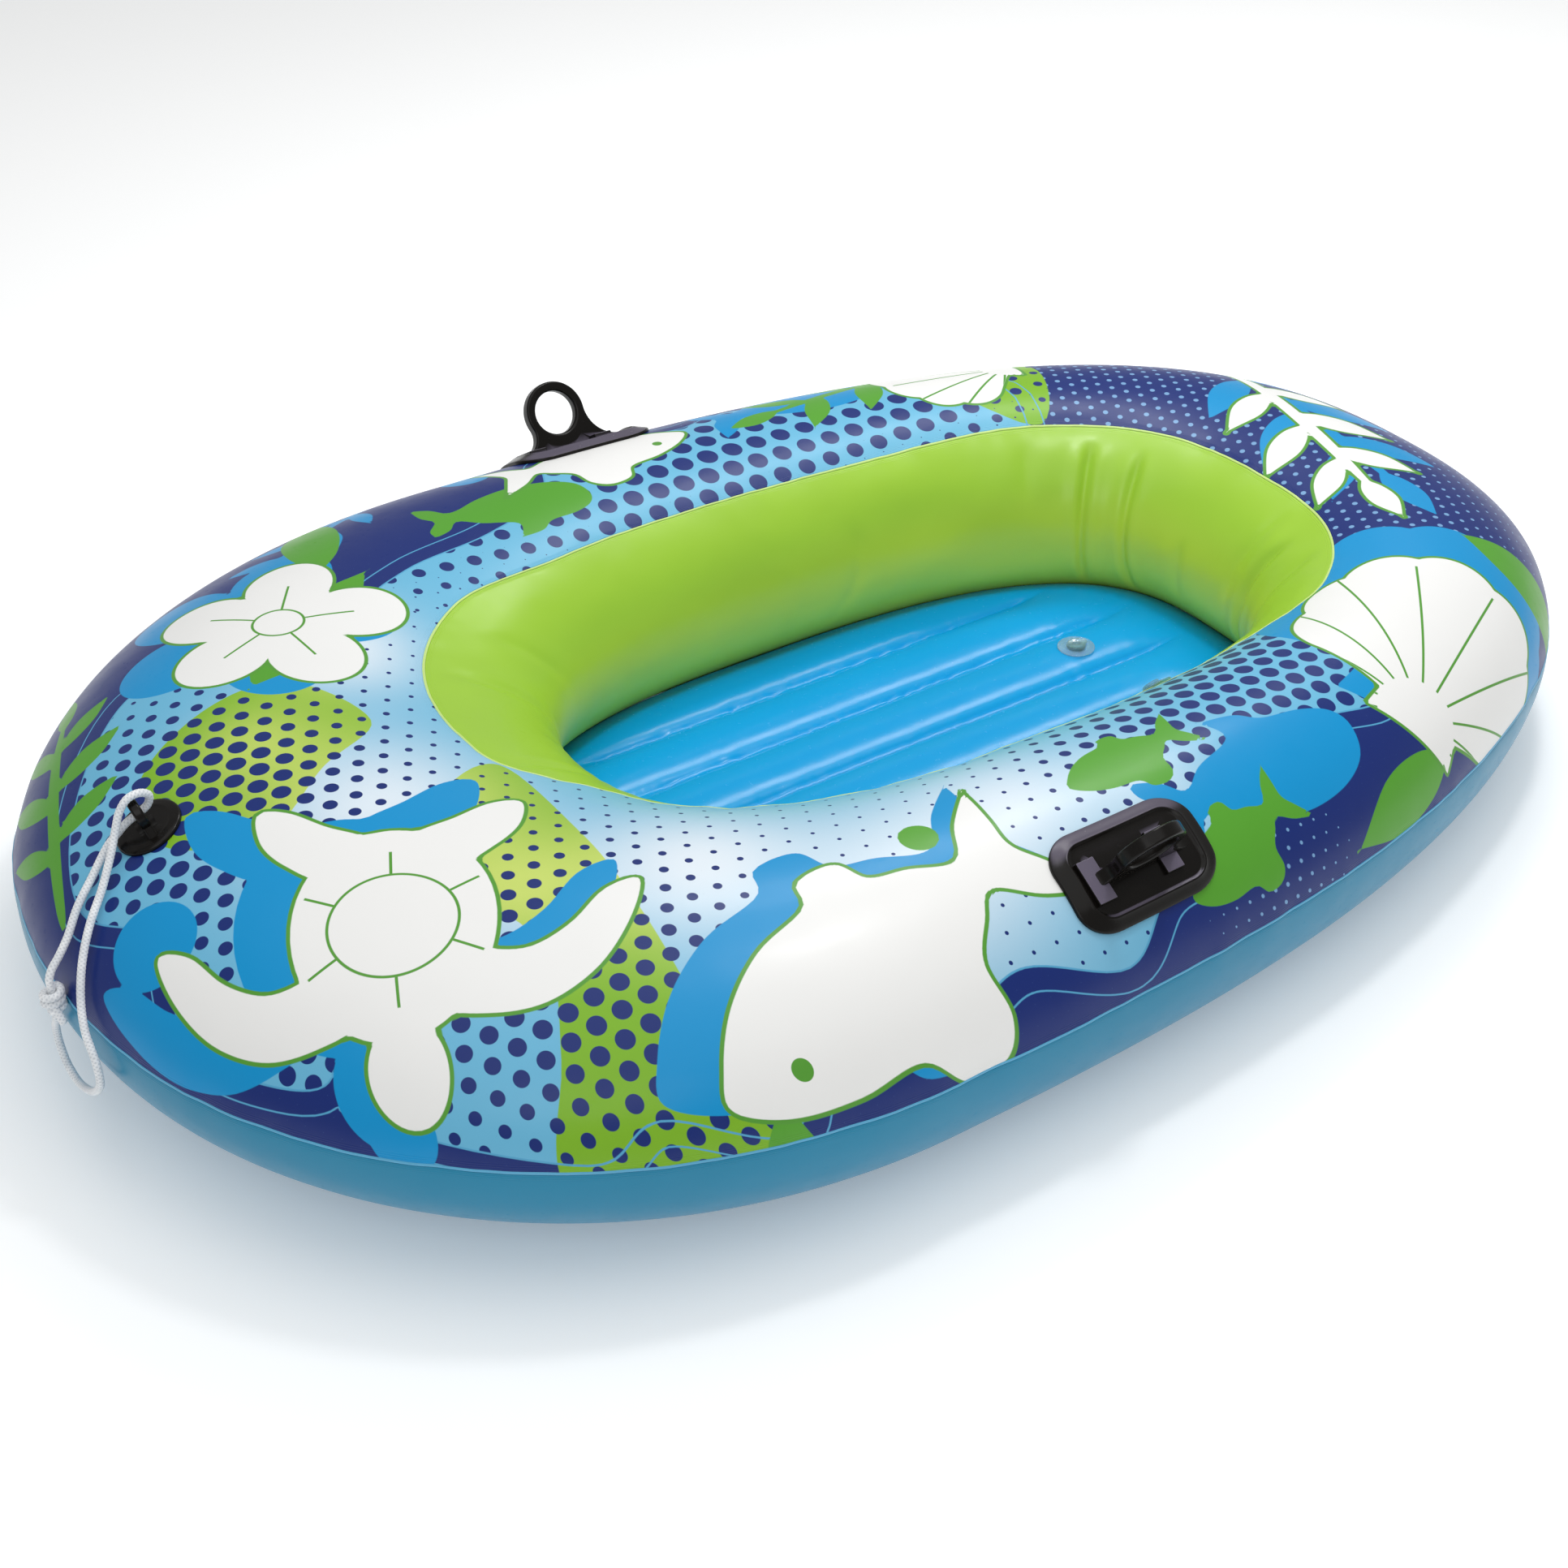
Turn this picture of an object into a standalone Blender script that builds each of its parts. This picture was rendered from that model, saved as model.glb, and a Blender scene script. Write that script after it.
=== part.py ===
import bpy
import bmesh
from math import acos, atan2, copysign, cos, pi, radians, sin, sqrt, tau
from mathutils import Matrix, Vector

for old in list(bpy.data.objects):
    bpy.data.objects.remove(old)

# Hull seen from above, with the bow at +X and port at +Y
hull_length = 1.37
hull_beam = 0.88
widest_ahead = 0.221
bow_power = 2.05
stern_power = 2.43

# Cockpit seen from above, where the wall bulges in furthest
well_fore = 0.238
well_aft = 0.394
well_beam = 0.336
well_widest_astern = 0.048
well_bow_power = 2.62
well_stern_power = 3.01

# Air tube, whose section is an oval that leans through a full turn from its outer side over the top
tube_height_bow = 0.233
tube_height_stern = 0.192
ground_press = 0.002
outer_seam_lean = radians(6.5)
rim_seam_lean = radians(120.5)
rim_seam_drop_port = radians(17.0)
rim_seam_drop_starboard = radians(6.0)
port_drop_turns = (radians(2), radians(26), radians(110), radians(140))
starboard_drop_turns = (radians(225), radians(258), radians(288), radians(312))
floor_edge_lean = radians(217)
foot_seam_lean = radians(232)

# Vinyl film and its welds
film = 0.0004
seat_gap = 0.0003
lap_width = 0.008
joggle_start = 0.001
joggle_end = 0.0025

# Mesh divisions
hull_stations = 64
deck_bands = 10
wall_bands = 5
bilge_bands = 5

# Floor mat with lengthwise ribs
rib_count = 6
rib_height = 0.010
rib_valley_drop = 0.001
edge_roll = 0.030
mat_belly = 0.014
narrowest_strip = 0.003

# Push-in air valve, in its own frame with +Z out of the film
flange_radius = 0.017
flange_thickness = 0.0012
collar_bore = 0.0070
collar_wall = 0.0010
collar_depth = 0.0060
film_hole_clearance = 0.0004
stem_clearance = 0.0002
stem_bore = 0.0045
stem_depth = 0.0130
lip_radius = 0.0088
lip_thickness = 0.0016
cap_radius = 0.0078
cap_thickness = 0.0020
plug_radius = 0.0036
plug_length = 0.0030
strap_width = 0.0050
strap_thickness = 0.0010
strap_reach = 0.0028
lug_overrun = 0.0012
flap_radius = 0.0060
flap_thickness = 0.0006
valve_steps = 20
floor_valve_x = -0.288
hull_valve_turn = radians(105)
hull_valve_lean = radians(150)

# Angles for measuring the tube's directions and for finding a moulding's place on it
probe = radians(0.06)
drape_reach = radians(35)

# Oarlock moulding: a base that follows the tube, a tray with a raised edge, and an upright ring
oarlock_x = 0.018
oarlock_lean = radians(52)
base_length = 0.134
base_width = 0.094
base_corner = 0.030
base_edge_height = 0.0025
tray_rim_height = 0.0065
tray_floor_height = 0.0045
tray_rim_inset = 0.012
tray_floor_inset = 0.017
ring_hole_radius = 0.0195
ring_wall = 0.0085
ring_hole_height = 0.036
ring_ahead = 0.009
ring_thickness = 0.011
ring_edge_round = 0.0028
bow_flare_radius = 0.016
stern_flare_radius = 0.030
fin_root_depth = 0.0030
pad_length = 0.017
pad_width = 0.012
pad_height = 0.0075
pad_spread = 0.033

# Bow eyelet: a round base with an upright lug
eyelet_off_centre = -0.040
eyelet_lean = radians(55)
eyelet_base_radius = 0.026
eyelet_base_height = 0.0035
eyelet_base_round = 0.0020
lug_height = 0.016
lug_radius = 0.0145
lug_hole_radius = 0.0070
lug_thickness = 0.0075
lug_edge_round = 0.0018
lug_foot_width = 0.036

# Bow rope and its knot
rope_radius = 0.0030
rope_point_spacing = 0.0082
knot_radius = 0.0095
knot_length = 0.0215
knot_wrap = 0.0011
knot_tail_length = 0.009
knot_tail_turn = radians(128)
knot_place = Vector((0.6925, 0.006, 0.128))


def make_material(name, colour, roughness, metallic=0.0):
    material = bpy.data.materials.new(name)
    material.use_nodes = True
    shader = material.node_tree.nodes["Principled BSDF"]
    shader.inputs["Base Color"].default_value = (*colour, 1.0)
    shader.inputs["Roughness"].default_value = roughness
    shader.inputs["Metallic"].default_value = metallic
    return material


printed_vinyl = make_material("printed_vinyl", (0.13, 0.30, 0.62), 0.30)
pale_blue_vinyl = make_material("pale_blue_vinyl", (0.10, 0.38, 0.62), 0.32)
lime_vinyl = make_material("lime_vinyl", (0.36, 0.62, 0.06), 0.30)
bright_blue_vinyl = make_material("bright_blue_vinyl", (0.00, 0.37, 0.78), 0.28)
clear_vinyl = make_material("clear_vinyl", (0.80, 0.86, 0.88), 0.20)
black_vinyl = make_material("black_vinyl", (0.018, 0.016, 0.015), 0.35)
white_rope = make_material("white_rope", (0.86, 0.87, 0.88), 0.75)

boat = bpy.data.objects.new("boat", None)
bpy.context.collection.objects.link(boat)


def add_object(name, mesh_builder, material, parent=boat):
    mesh = bpy.data.meshes.new(name)
    mesh_builder.to_mesh(mesh)
    mesh_builder.free()
    mesh.materials.append(material)
    mesh.shade_smooth()
    mesh.set_sharp_from_angle(angle=radians(35))
    piece = bpy.data.objects.new(name, mesh)
    bpy.context.collection.objects.link(piece)
    piece.parent = parent
    return piece


def combine(body, tool, operation):
    tool.hide_render = True
    tool.display_type = "WIRE"
    boolean = body.modifiers.new(operation.title(), "BOOLEAN")
    boolean.operation = operation
    boolean.solver = "EXACT"
    boolean.object = tool


def thicken(sheet, offset):
    solidify = sheet.modifiers.new("Film", "SOLIDIFY")
    solidify.thickness = film
    solidify.offset = offset
    solidify.use_even_offset = True


# The oval plans of the hull and the cockpit, each two unlike half superellipses
def plan_point(turn, waist, fore, aft, half_width, fore_power, aft_power):
    ahead = cos(turn) >= 0
    reach = fore if ahead else aft
    power = fore_power if ahead else aft_power
    x = waist + copysign(reach * abs(cos(turn)) ** (2 / power), cos(turn))
    y = copysign(half_width * abs(sin(turn)) ** (2 / power), sin(turn))
    return Vector((x, y, 0))


def tube_point(turn, lean):
    outer = plan_point(turn, widest_ahead, hull_length / 2 - widest_ahead, hull_length / 2 + widest_ahead,
                       hull_beam / 2, bow_power, stern_power)
    inner = plan_point(turn, -well_widest_astern, well_fore + well_widest_astern,
                       well_aft - well_widest_astern, well_beam / 2, well_bow_power, well_stern_power)
    middle = (outer + inner) / 2
    half = (outer - inner) / 2
    share = (middle.x + hull_length / 2) / hull_length
    height = tube_height_stern + (tube_height_bow - tube_height_stern) * share
    point = middle + half * cos(lean)
    point.z = (height + ground_press) * (1 + sin(lean)) / 2 - ground_press
    return point


# Directions on the tube: along the hull, round its section, and straight out of the film
def tube_directions(turn, lean):
    along = tube_point(turn + probe, lean) - tube_point(turn - probe, lean)
    around = tube_point(turn, lean + probe) - tube_point(turn, lean - probe)
    return along / (2 * probe), around / (2 * probe), along.cross(around).normalized()


def skin(turn, lean, proud=0.0):
    point = tube_point(turn, lean)
    if proud:
        point += tube_directions(turn, lean)[2] * proud
    point.z = max(point.z, 0)
    return point


def lean_step(turn, lean, distance):
    return distance / tube_directions(turn, lean)[1].length


# The turn at which the tube's skin lies at a given place along the hull
def turn_at(lean, target, axis, low, high):
    for _ in range(50):
        middle = (low + high) / 2
        if (skin(middle, lean)[axis] - target) * (skin(high, lean)[axis] - target) <= 0:
            low = middle
        else:
            high = middle
    return (low + high) / 2


def even(start, stop, count):
    return [start + (stop - start) * k / count for k in range(count + 1)]


# Where the oval section first dips below the ground, either side of its lowest point
def ground_leans(turn):
    height = tube_point(turn, pi / 2).z
    dip = acos(1 - 2 * ground_press / (height + ground_press))
    return 1.5 * pi - dip, 1.5 * pi + dip


tucked = -(film + seat_gap)


# Rises smoothly from nought to one between the first two turns and falls back between the last two
def plateau(turn, rise_start, rise_end, fall_start, fall_end):
    up = min(1, max(0, (turn - rise_start) / (rise_end - rise_start)))
    down = min(1, max(0, (fall_end - turn) / (fall_end - fall_start)))
    share = min(up, down)
    return share * share * (3 - 2 * share)


# The rim seam lies lower on the cockpit side amidships, and lowest to port
def rim_seam(turn):
    port = rim_seam_drop_port * plateau(turn % tau, *port_drop_turns)
    return rim_seam_lean + port + rim_seam_drop_starboard * plateau(turn % tau, *starboard_drop_turns)


def deck_rows(turn):
    rim = rim_seam(turn)
    low = outer_seam_lean + lean_step(turn, outer_seam_lean, lap_width)
    high = rim - lean_step(turn, rim, lap_width)
    leans = [outer_seam_lean, *even(low, high, deck_bands), rim]
    return [(lean, 0.0) for lean in leans]


def wall_rows(turn):
    rim = rim_seam(turn)
    step = lean_step(turn, rim, lap_width) / lap_width
    foot_step = lean_step(turn, foot_seam_lean, lap_width)
    tuck = [(rim - step * lap_width, tucked), (rim + step * joggle_start, tucked)]
    wall = even(rim + step * joggle_end, floor_edge_lean, wall_bands)
    foot = [foot_seam_lean - foot_step, foot_seam_lean]
    return tuck + [(lean, 0.0) for lean in wall + foot]


def bottom_rows(turn):
    foot = lean_step(turn, foot_seam_lean, lap_width) / lap_width
    seam = lean_step(turn, outer_seam_lean, lap_width) / lap_width
    inboard, outboard = ground_leans(turn)
    top = outer_seam_lean + tau
    rows = [(foot_seam_lean - foot * lap_width, tucked), (foot_seam_lean + foot * joggle_start, tucked)]
    rows += [(foot_seam_lean + foot * joggle_end, 0.0), (inboard, 0.0), (1.5 * pi, 0.0)]
    rows += [(lean, 0.0) for lean in even(outboard, top - seam * joggle_end, bilge_bands)]
    rows += [(top - seam * joggle_start, tucked), (top + seam * lap_width, tucked)]
    return rows


def hull_sheet(name, rows_at, material):
    mesh = bmesh.new()
    turns = [tau * k / hull_stations for k in range(hull_stations)]
    rings = [[mesh.verts.new(skin(turn, lean, proud)) for lean, proud in rows_at(turn)] for turn in turns]
    for ring, following in zip(rings, rings[1:] + rings[:1]):
        for k in range(len(ring) - 1):
            mesh.faces.new((ring[k], following[k], following[k + 1], ring[k + 1]))
    bmesh.ops.triangulate(mesh, faces=mesh.faces, quad_method="FIXED")
    sheet = add_object(name, mesh, material)
    thicken(sheet, -1)
    return sheet


hull_sheet("hull_deck_sheet", deck_rows, printed_vinyl)
cockpit_wall = hull_sheet("cockpit_wall", wall_rows, lime_vinyl)
hull_sheet("hull_bottom_sheet", bottom_rows, pale_blue_vinyl)

# Floor mat. Its rows run across the cockpit between every second pair of hull stations
mat_turns = [tau * k / hull_stations for k in range(0, hull_stations // 2 + 1, 2)]
mat_edges = [skin(turn, floor_edge_lean, seat_gap) for turn in mat_turns]
mat_half_width = max(edge.y for edge in mat_edges)
rib_pitch = 2 * mat_half_width / rib_count
rib_shares = (0.0, 0.2, 0.5, 0.8)
rib_lines = [(k + share - rib_count / 2) * rib_pitch for k in range(rib_count) for share in rib_shares]
weld_lines = [(k - rib_count / 2) * rib_pitch for k in range(1, rib_count)]


def edge_fade(x, y, half_width):
    inside = min(half_width - abs(y), mat_edges[0].x - x, x - mat_edges[-1].x)
    return sin(pi / 2 * min(1, max(0, inside / edge_roll)))


def mat_top(edge, x, y):
    share = (y / rib_pitch + rib_count / 2) % 1
    arch = sqrt(max(0, 1 - (2 * share - 1) ** 2))
    return edge.z + (rib_height * arch - rib_valley_drop) * edge_fade(x, y, edge.y)


def mat_bottom(edge, x, y):
    return edge.z - mat_belly * edge_fade(x, y, edge.y)


# A sheet across the cockpit, whose lines run straight until they meet the edge
def mat_sheet(mesh, edges, lines, height):
    grid = []
    for edge in edges:
        inner = [y for y in lines if abs(y) < edge.y - narrowest_strip]
        starboard = mesh.verts.new((edge.x, -edge.y, edge.z))
        port = starboard if edge.y < narrowest_strip else mesh.verts.new((edge.x, edge.y, edge.z))
        made = {y: mesh.verts.new((edge.x, y, height(edge, edge.x, y))) for y in inner}
        row = [starboard if y < 0 else port for y in lines]
        row = [made.get(y, vertex) for y, vertex in zip(lines, row)]
        grid.append([starboard, *row, port])
    for row, following in zip(grid, grid[1:]):
        for k in range(len(row) - 1):
            corners = []
            for vertex in (row[k], row[k + 1], following[k + 1], following[k]):
                if vertex not in corners:
                    corners.append(vertex)
            if len(corners) > 2:
                mesh.faces.new(corners)
    port = [row[-1] for row in grid]
    starboard = [row[0] for row in grid]
    return port + starboard[-2:0:-1]


def floor_top():
    mesh = bmesh.new()
    border = mat_sheet(mesh, mat_edges, rib_lines, mat_top)
    turns = mat_turns + [-turn for turn in mat_turns[-2:0:-1]]
    skirt = []
    for turn in turns:
        lean = foot_seam_lean - lean_step(turn, foot_seam_lean, lap_width)
        skirt.append(mesh.verts.new(skin(turn, lean, seat_gap)))
    for k in range(len(border)):
        n = (k + 1) % len(border)
        mesh.faces.new((border[k], border[n], skirt[n], skirt[k]))
    bmesh.ops.triangulate(mesh, faces=mesh.faces, quad_method="FIXED")
    bmesh.ops.recalc_face_normals(mesh, faces=mesh.faces)
    if max(mesh.faces, key=lambda face: face.calc_center_median().z).normal.z < 0:
        bmesh.ops.reverse_faces(mesh, faces=mesh.faces)
    sheet = add_object("floor_top_sheet", mesh, bright_blue_vinyl)
    thicken(sheet, -1)
    return sheet


def floor_bottom():
    mesh = bmesh.new()
    edges = [skin(turn, foot_seam_lean, seat_gap + film * 1.5) for turn in mat_turns]
    mat_sheet(mesh, edges, weld_lines, mat_bottom)
    bmesh.ops.triangulate(mesh, faces=mesh.faces, quad_method="FIXED")
    bmesh.ops.recalc_face_normals(mesh, faces=mesh.faces)
    if next(iter(mesh.faces)).normal.z > 0:
        bmesh.ops.reverse_faces(mesh, faces=mesh.faces)
    sheet = add_object("floor_bottom_sheet", mesh, bright_blue_vinyl)
    thicken(sheet, -1)
    return edges


floor_top_sheet = floor_top()
foot_edges = floor_bottom()

# Upright webs between the two floor sheets, one under each valley
for number, y in enumerate(weld_lines, 1):
    web = bmesh.new()
    strip = []
    for edge, foot in zip(mat_edges, foot_edges):
        if abs(y) < edge.y - edge_roll and edge_fade(edge.x, y, edge.y) > 0:
            top = mat_top(edge, edge.x, y) - 2 * film - seat_gap
            bottom = mat_bottom(foot, foot.x, y) + 2 * film + seat_gap
            strip.append((web.verts.new((edge.x, y, top)), web.verts.new((foot.x, y, bottom))))
    for pair, following in zip(strip, strip[1:]):
        web.faces.new((pair[0], pair[1], following[1], following[0]))
    thicken(add_object(f"floor_web_{number}", web, bright_blue_vinyl), 0)


# A solid turned from a closed outline of radius and height
def turned(outline, steps):
    mesh = bmesh.new()
    verts = [mesh.verts.new((radius, 0, height)) for radius, height in outline]
    edges = [mesh.edges.new((verts[k - 1], verts[k])) for k in range(len(verts))]
    edges = [e for e in edges if any(v.co.x > 0 for v in e.verts)]
    bmesh.ops.spin(mesh, geom=verts + edges, cent=(0, 0, 0), axis=(0, 0, 1), angle=tau, steps=steps)
    bmesh.ops.remove_doubles(mesh, verts=mesh.verts, dist=seat_gap / 30)
    bmesh.ops.recalc_face_normals(mesh, faces=mesh.faces)
    return mesh


def block(low, high):
    mesh = bmesh.new()
    centre = (Vector(low) + Vector(high)) / 2
    size = Vector(high) - Vector(low)
    bmesh.ops.create_cube(mesh, size=1, matrix=Matrix.Translation(centre) @ Matrix.Diagonal((*size, 1)))
    return mesh


# How far a flat disc has to stand off the bulging film so that its rim clears it
def seat_rise(turn, lean, radius):
    centre = skin(turn, lean)
    along, around, normal = tube_directions(turn, lean)
    rise = 0
    for k in range(12):
        angle = tau * k / 12
        turn_shift = radius * cos(angle) / along.length
        lean_shift = radius * sin(angle) / around.length
        rise = max(rise, (skin(turn + turn_shift, lean + lean_shift) - centre).dot(normal))
    return rise


def skin_frame(turn, lean):
    along, around, normal = tube_directions(turn, lean)
    across = normal.cross(along).normalized()
    axes = Matrix((along.normalized(), across, normal)).transposed()
    return Matrix.Translation(skin(turn, lean)) @ axes.to_4x4()


def air_valve(prefix, frame, sheet, rise):
    holder = bpy.data.objects.new(prefix, None)
    bpy.context.collection.objects.link(holder)
    holder.parent = boat
    holder.matrix_world = frame
    under = rise + seat_gap
    top = under + flange_thickness
    collar_outer = collar_bore + collar_wall
    rounding = flange_thickness / 2
    outline = [(collar_bore, -collar_depth), (collar_outer, -collar_depth), (collar_outer, under),
               (flange_radius - rounding, under), (flange_radius, under + rounding),
               (flange_radius - rounding, top), (collar_bore, top)]
    add_object(prefix + "_collar", turned(outline, valve_steps), clear_vinyl, holder)
    hole_radius = collar_outer + film_hole_clearance
    hole = turned([(0, -collar_depth), (hole_radius, -collar_depth), (hole_radius, top), (0, top)], valve_steps)
    combine(sheet, add_object(prefix + "_hole", hole, clear_vinyl, holder), "DIFFERENCE")

    stem_outer = collar_bore - stem_clearance
    lip_bottom = top + seat_gap
    lip_top = lip_bottom + lip_thickness
    hinge_x = cap_radius + strap_reach
    outline = [(stem_bore, -stem_depth), (stem_outer, -stem_depth), (stem_outer, lip_bottom),
               (lip_radius, lip_bottom), (lip_radius, lip_top), (stem_bore, lip_top)]
    stem = add_object(prefix + "_stem", turned(outline, valve_steps), clear_vinyl, holder)
    lug = block((stem_outer, -strap_width / 2, lip_bottom),
                (hinge_x + lug_overrun, strap_width / 2, lip_top))
    combine(stem, add_object(prefix + "_lug", lug, clear_vinyl, stem), "UNION")

    pivot_height = lip_top + seat_gap + strap_thickness / 2
    seat = seat_gap - (seat_gap + strap_thickness / 2)
    outline = [(0, seat - plug_length), (plug_radius * 0.8, seat - plug_length),
               (plug_radius, seat - plug_length / 2), (plug_radius, seat), (cap_radius, seat),
               (cap_radius, seat + cap_thickness * 0.6), (cap_radius * 0.9, seat + cap_thickness),
               (0, seat + cap_thickness)]
    cap_mesh = turned(outline, valve_steps)
    bmesh.ops.translate(cap_mesh, vec=(-hinge_x, 0, 0), verts=cap_mesh.verts)
    cap = add_object(prefix + "_cap", cap_mesh, clear_vinyl, stem)
    cap.location = (hinge_x, 0, pivot_height)
    strap = block((-strap_reach - cap_radius * 0.2, -strap_width / 2, seat),
                  (0, strap_width / 2, seat + strap_thickness))
    combine(cap, add_object(prefix + "_strap", strap, clear_vinyl, cap), "UNION")

    outline = [(0, 0), (flap_radius, 0), (flap_radius, -flap_thickness), (0, -flap_thickness)]
    flap_mesh = turned(outline, valve_steps)
    bmesh.ops.translate(flap_mesh, vec=(-flap_radius, 0, 0), verts=flap_mesh.verts)
    flap = add_object(prefix + "_flap", flap_mesh, clear_vinyl, stem)
    flap.location = (flap_radius, 0, -stem_depth - seat_gap)


hull_valve_rise = seat_rise(hull_valve_turn, hull_valve_lean, flange_radius)
air_valve("hull_valve", skin_frame(hull_valve_turn, hull_valve_lean), cockpit_wall, hull_valve_rise)

valve_row = min(mat_edges, key=lambda edge: abs(edge.x - floor_valve_x))
floor_valve_y = -rib_pitch / 2
floor_valve_z = valve_row.z + rib_height - rib_valley_drop
floor_valve_place = Matrix.Translation((floor_valve_x, floor_valve_y, floor_valve_z))
air_valve("floor_valve", floor_valve_place @ Matrix.Rotation(pi, 4, "Z"), floor_top_sheet, seat_gap)


# A closed outline of a rectangle with round corners, drawn in by an inset
def round_rectangle(length, width, corner, inset, corner_steps=4, side_steps=3):
    points = []
    reach_x, reach_y = length / 2 - corner, width / 2 - corner
    radius = max(corner - inset, corner / 6)
    pull = max(0, inset - corner + radius)
    for quarter, (sx, sy) in enumerate(((1, 1), (-1, 1), (-1, -1), (1, -1))):
        centre = Vector((sx * (reach_x - pull), sy * (reach_y - pull)))
        for k in range(corner_steps + 1):
            angle = pi / 2 * (quarter + k / corner_steps)
            points.append(centre + Vector((cos(angle), sin(angle))) * radius)
    full = []
    for k, point in enumerate(points):
        full.append(point)
        if k % (corner_steps + 1) == corner_steps:
            following = points[(k + 1) % len(points)]
            full += [point.lerp(following, n / side_steps) for n in range(1, side_steps)]
    return full


# A moulding laid on the tube: loops of flat points at rising heights, closed by a draped underside
def draped(turn, lean, axis, loops, under_loops):
    mesh = bmesh.new()
    start = skin(turn, lean)[axis]
    around = tube_directions(turn, lean)[1].length

    def place(flat, proud):
        here = lean + flat.y / around
        return skin(turn_at(here, start + flat.x, axis, turn - drape_reach, turn + drape_reach), here,
                    seat_gap + proud)

    rings = [[mesh.verts.new(place(flat, proud)) for flat in loop] for loop, proud in under_loops + loops]
    for ring, following in zip(rings, rings[1:]):
        for k in range(len(ring)):
            mesh.faces.new((ring[k - 1], ring[k], following[k], following[k - 1]))
    centre = Vector((0, 0))
    for ring, proud in ((rings[0], under_loops[0][1]), (rings[-1], loops[-1][1])):
        middle = mesh.verts.new(place(centre, proud))
        for k in range(len(ring)):
            mesh.faces.new((ring[k - 1], ring[k], middle))
    bmesh.ops.triangulate(mesh, faces=mesh.faces, quad_method="FIXED")
    bmesh.ops.recalc_face_normals(mesh, faces=mesh.faces)
    return mesh


# A plate pushed out both ways from an outline that stands on the skin
def upright_plate(outline, thickness, rounding):
    mesh = bmesh.new()
    verts = [mesh.verts.new((x, -thickness / 2, z)) for x, z in outline]
    face = mesh.faces.new(verts)
    pushed = bmesh.ops.extrude_face_region(mesh, geom=[face])["geom"]
    moved = [item for item in pushed if isinstance(item, bmesh.types.BMVert)]
    bmesh.ops.translate(mesh, vec=(0, thickness, 0), verts=moved)
    floor_z = min(z for _, z in outline)
    rims = [edge for edge in mesh.edges
            if abs(edge.verts[0].co.y - edge.verts[1].co.y) < thickness / 2
            and max(vertex.co.z for vertex in edge.verts) > floor_z + rounding / 10]
    bmesh.ops.bevel(mesh, geom=rims, offset=rounding, segments=2, profile=0.5, affect="EDGES",
                    material=-1, clamp_overlap=True)
    bmesh.ops.recalc_face_normals(mesh, faces=mesh.faces)
    return mesh


# Moves a mesh, whose faces still point out after it is mirrored
def put(mesh, matrix):
    mesh.transform(matrix)
    if matrix.determinant() < 0:
        bmesh.ops.reverse_faces(mesh, faces=mesh.faces)


def arc(centre_x, centre_z, radius, start, stop, steps):
    return [(centre_x + radius * cos(angle), centre_z + radius * sin(angle)) for angle in even(start, stop, steps)]


# A hole that widens towards both faces of its plate
def hole_cutter(radius, thickness, rounding):
    half = thickness / 2
    outline = [(0, -thickness), (radius + thickness, -thickness), (radius + rounding, -half),
               (radius, -half + rounding), (radius, half - rounding), (radius + rounding, half),
               (radius + thickness, thickness), (0, thickness)]
    mesh = turned(outline, 28)
    bmesh.ops.rotate(mesh, cent=(0, 0, 0), matrix=Matrix.Rotation(pi / 2, 3, "X"), verts=mesh.verts)
    return mesh


# The fin: a ring with a hollow flare down to the base on each side
def oarlock_outline():
    outer = ring_hole_radius + ring_wall
    drop = ring_hole_height - tray_floor_height
    points = []
    for radius, side in ((bow_flare_radius, 1), (stern_flare_radius, -1)):
        reach = sqrt((outer + radius) ** 2 - (drop - radius) ** 2)
        meet = atan2(ring_hole_height - tray_floor_height - radius, -reach)
        flare = arc(reach, tray_floor_height + radius, radius, 1.5 * pi, meet if meet > 0 else meet + tau, 6)
        flare = [(ring_ahead + side * x, z) for x, z in flare]
        points.append(flare)
    bow_flare, stern_flare = points
    end = bow_flare[-1]
    other = stern_flare[-1]
    start_angle = atan2(end[1] - ring_hole_height, end[0] - ring_ahead)
    stop_angle = atan2(other[1] - ring_hole_height, other[0] - ring_ahead)
    if stop_angle < start_angle:
        stop_angle += tau
    crown = arc(ring_ahead, ring_hole_height, outer, start_angle, stop_angle, 14)[1:-1]
    root = tray_floor_height - fin_root_depth
    return [(bow_flare[0][0], root), *bow_flare, *crown, *stern_flare[::-1], (stern_flare[0][0], root)]


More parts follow.
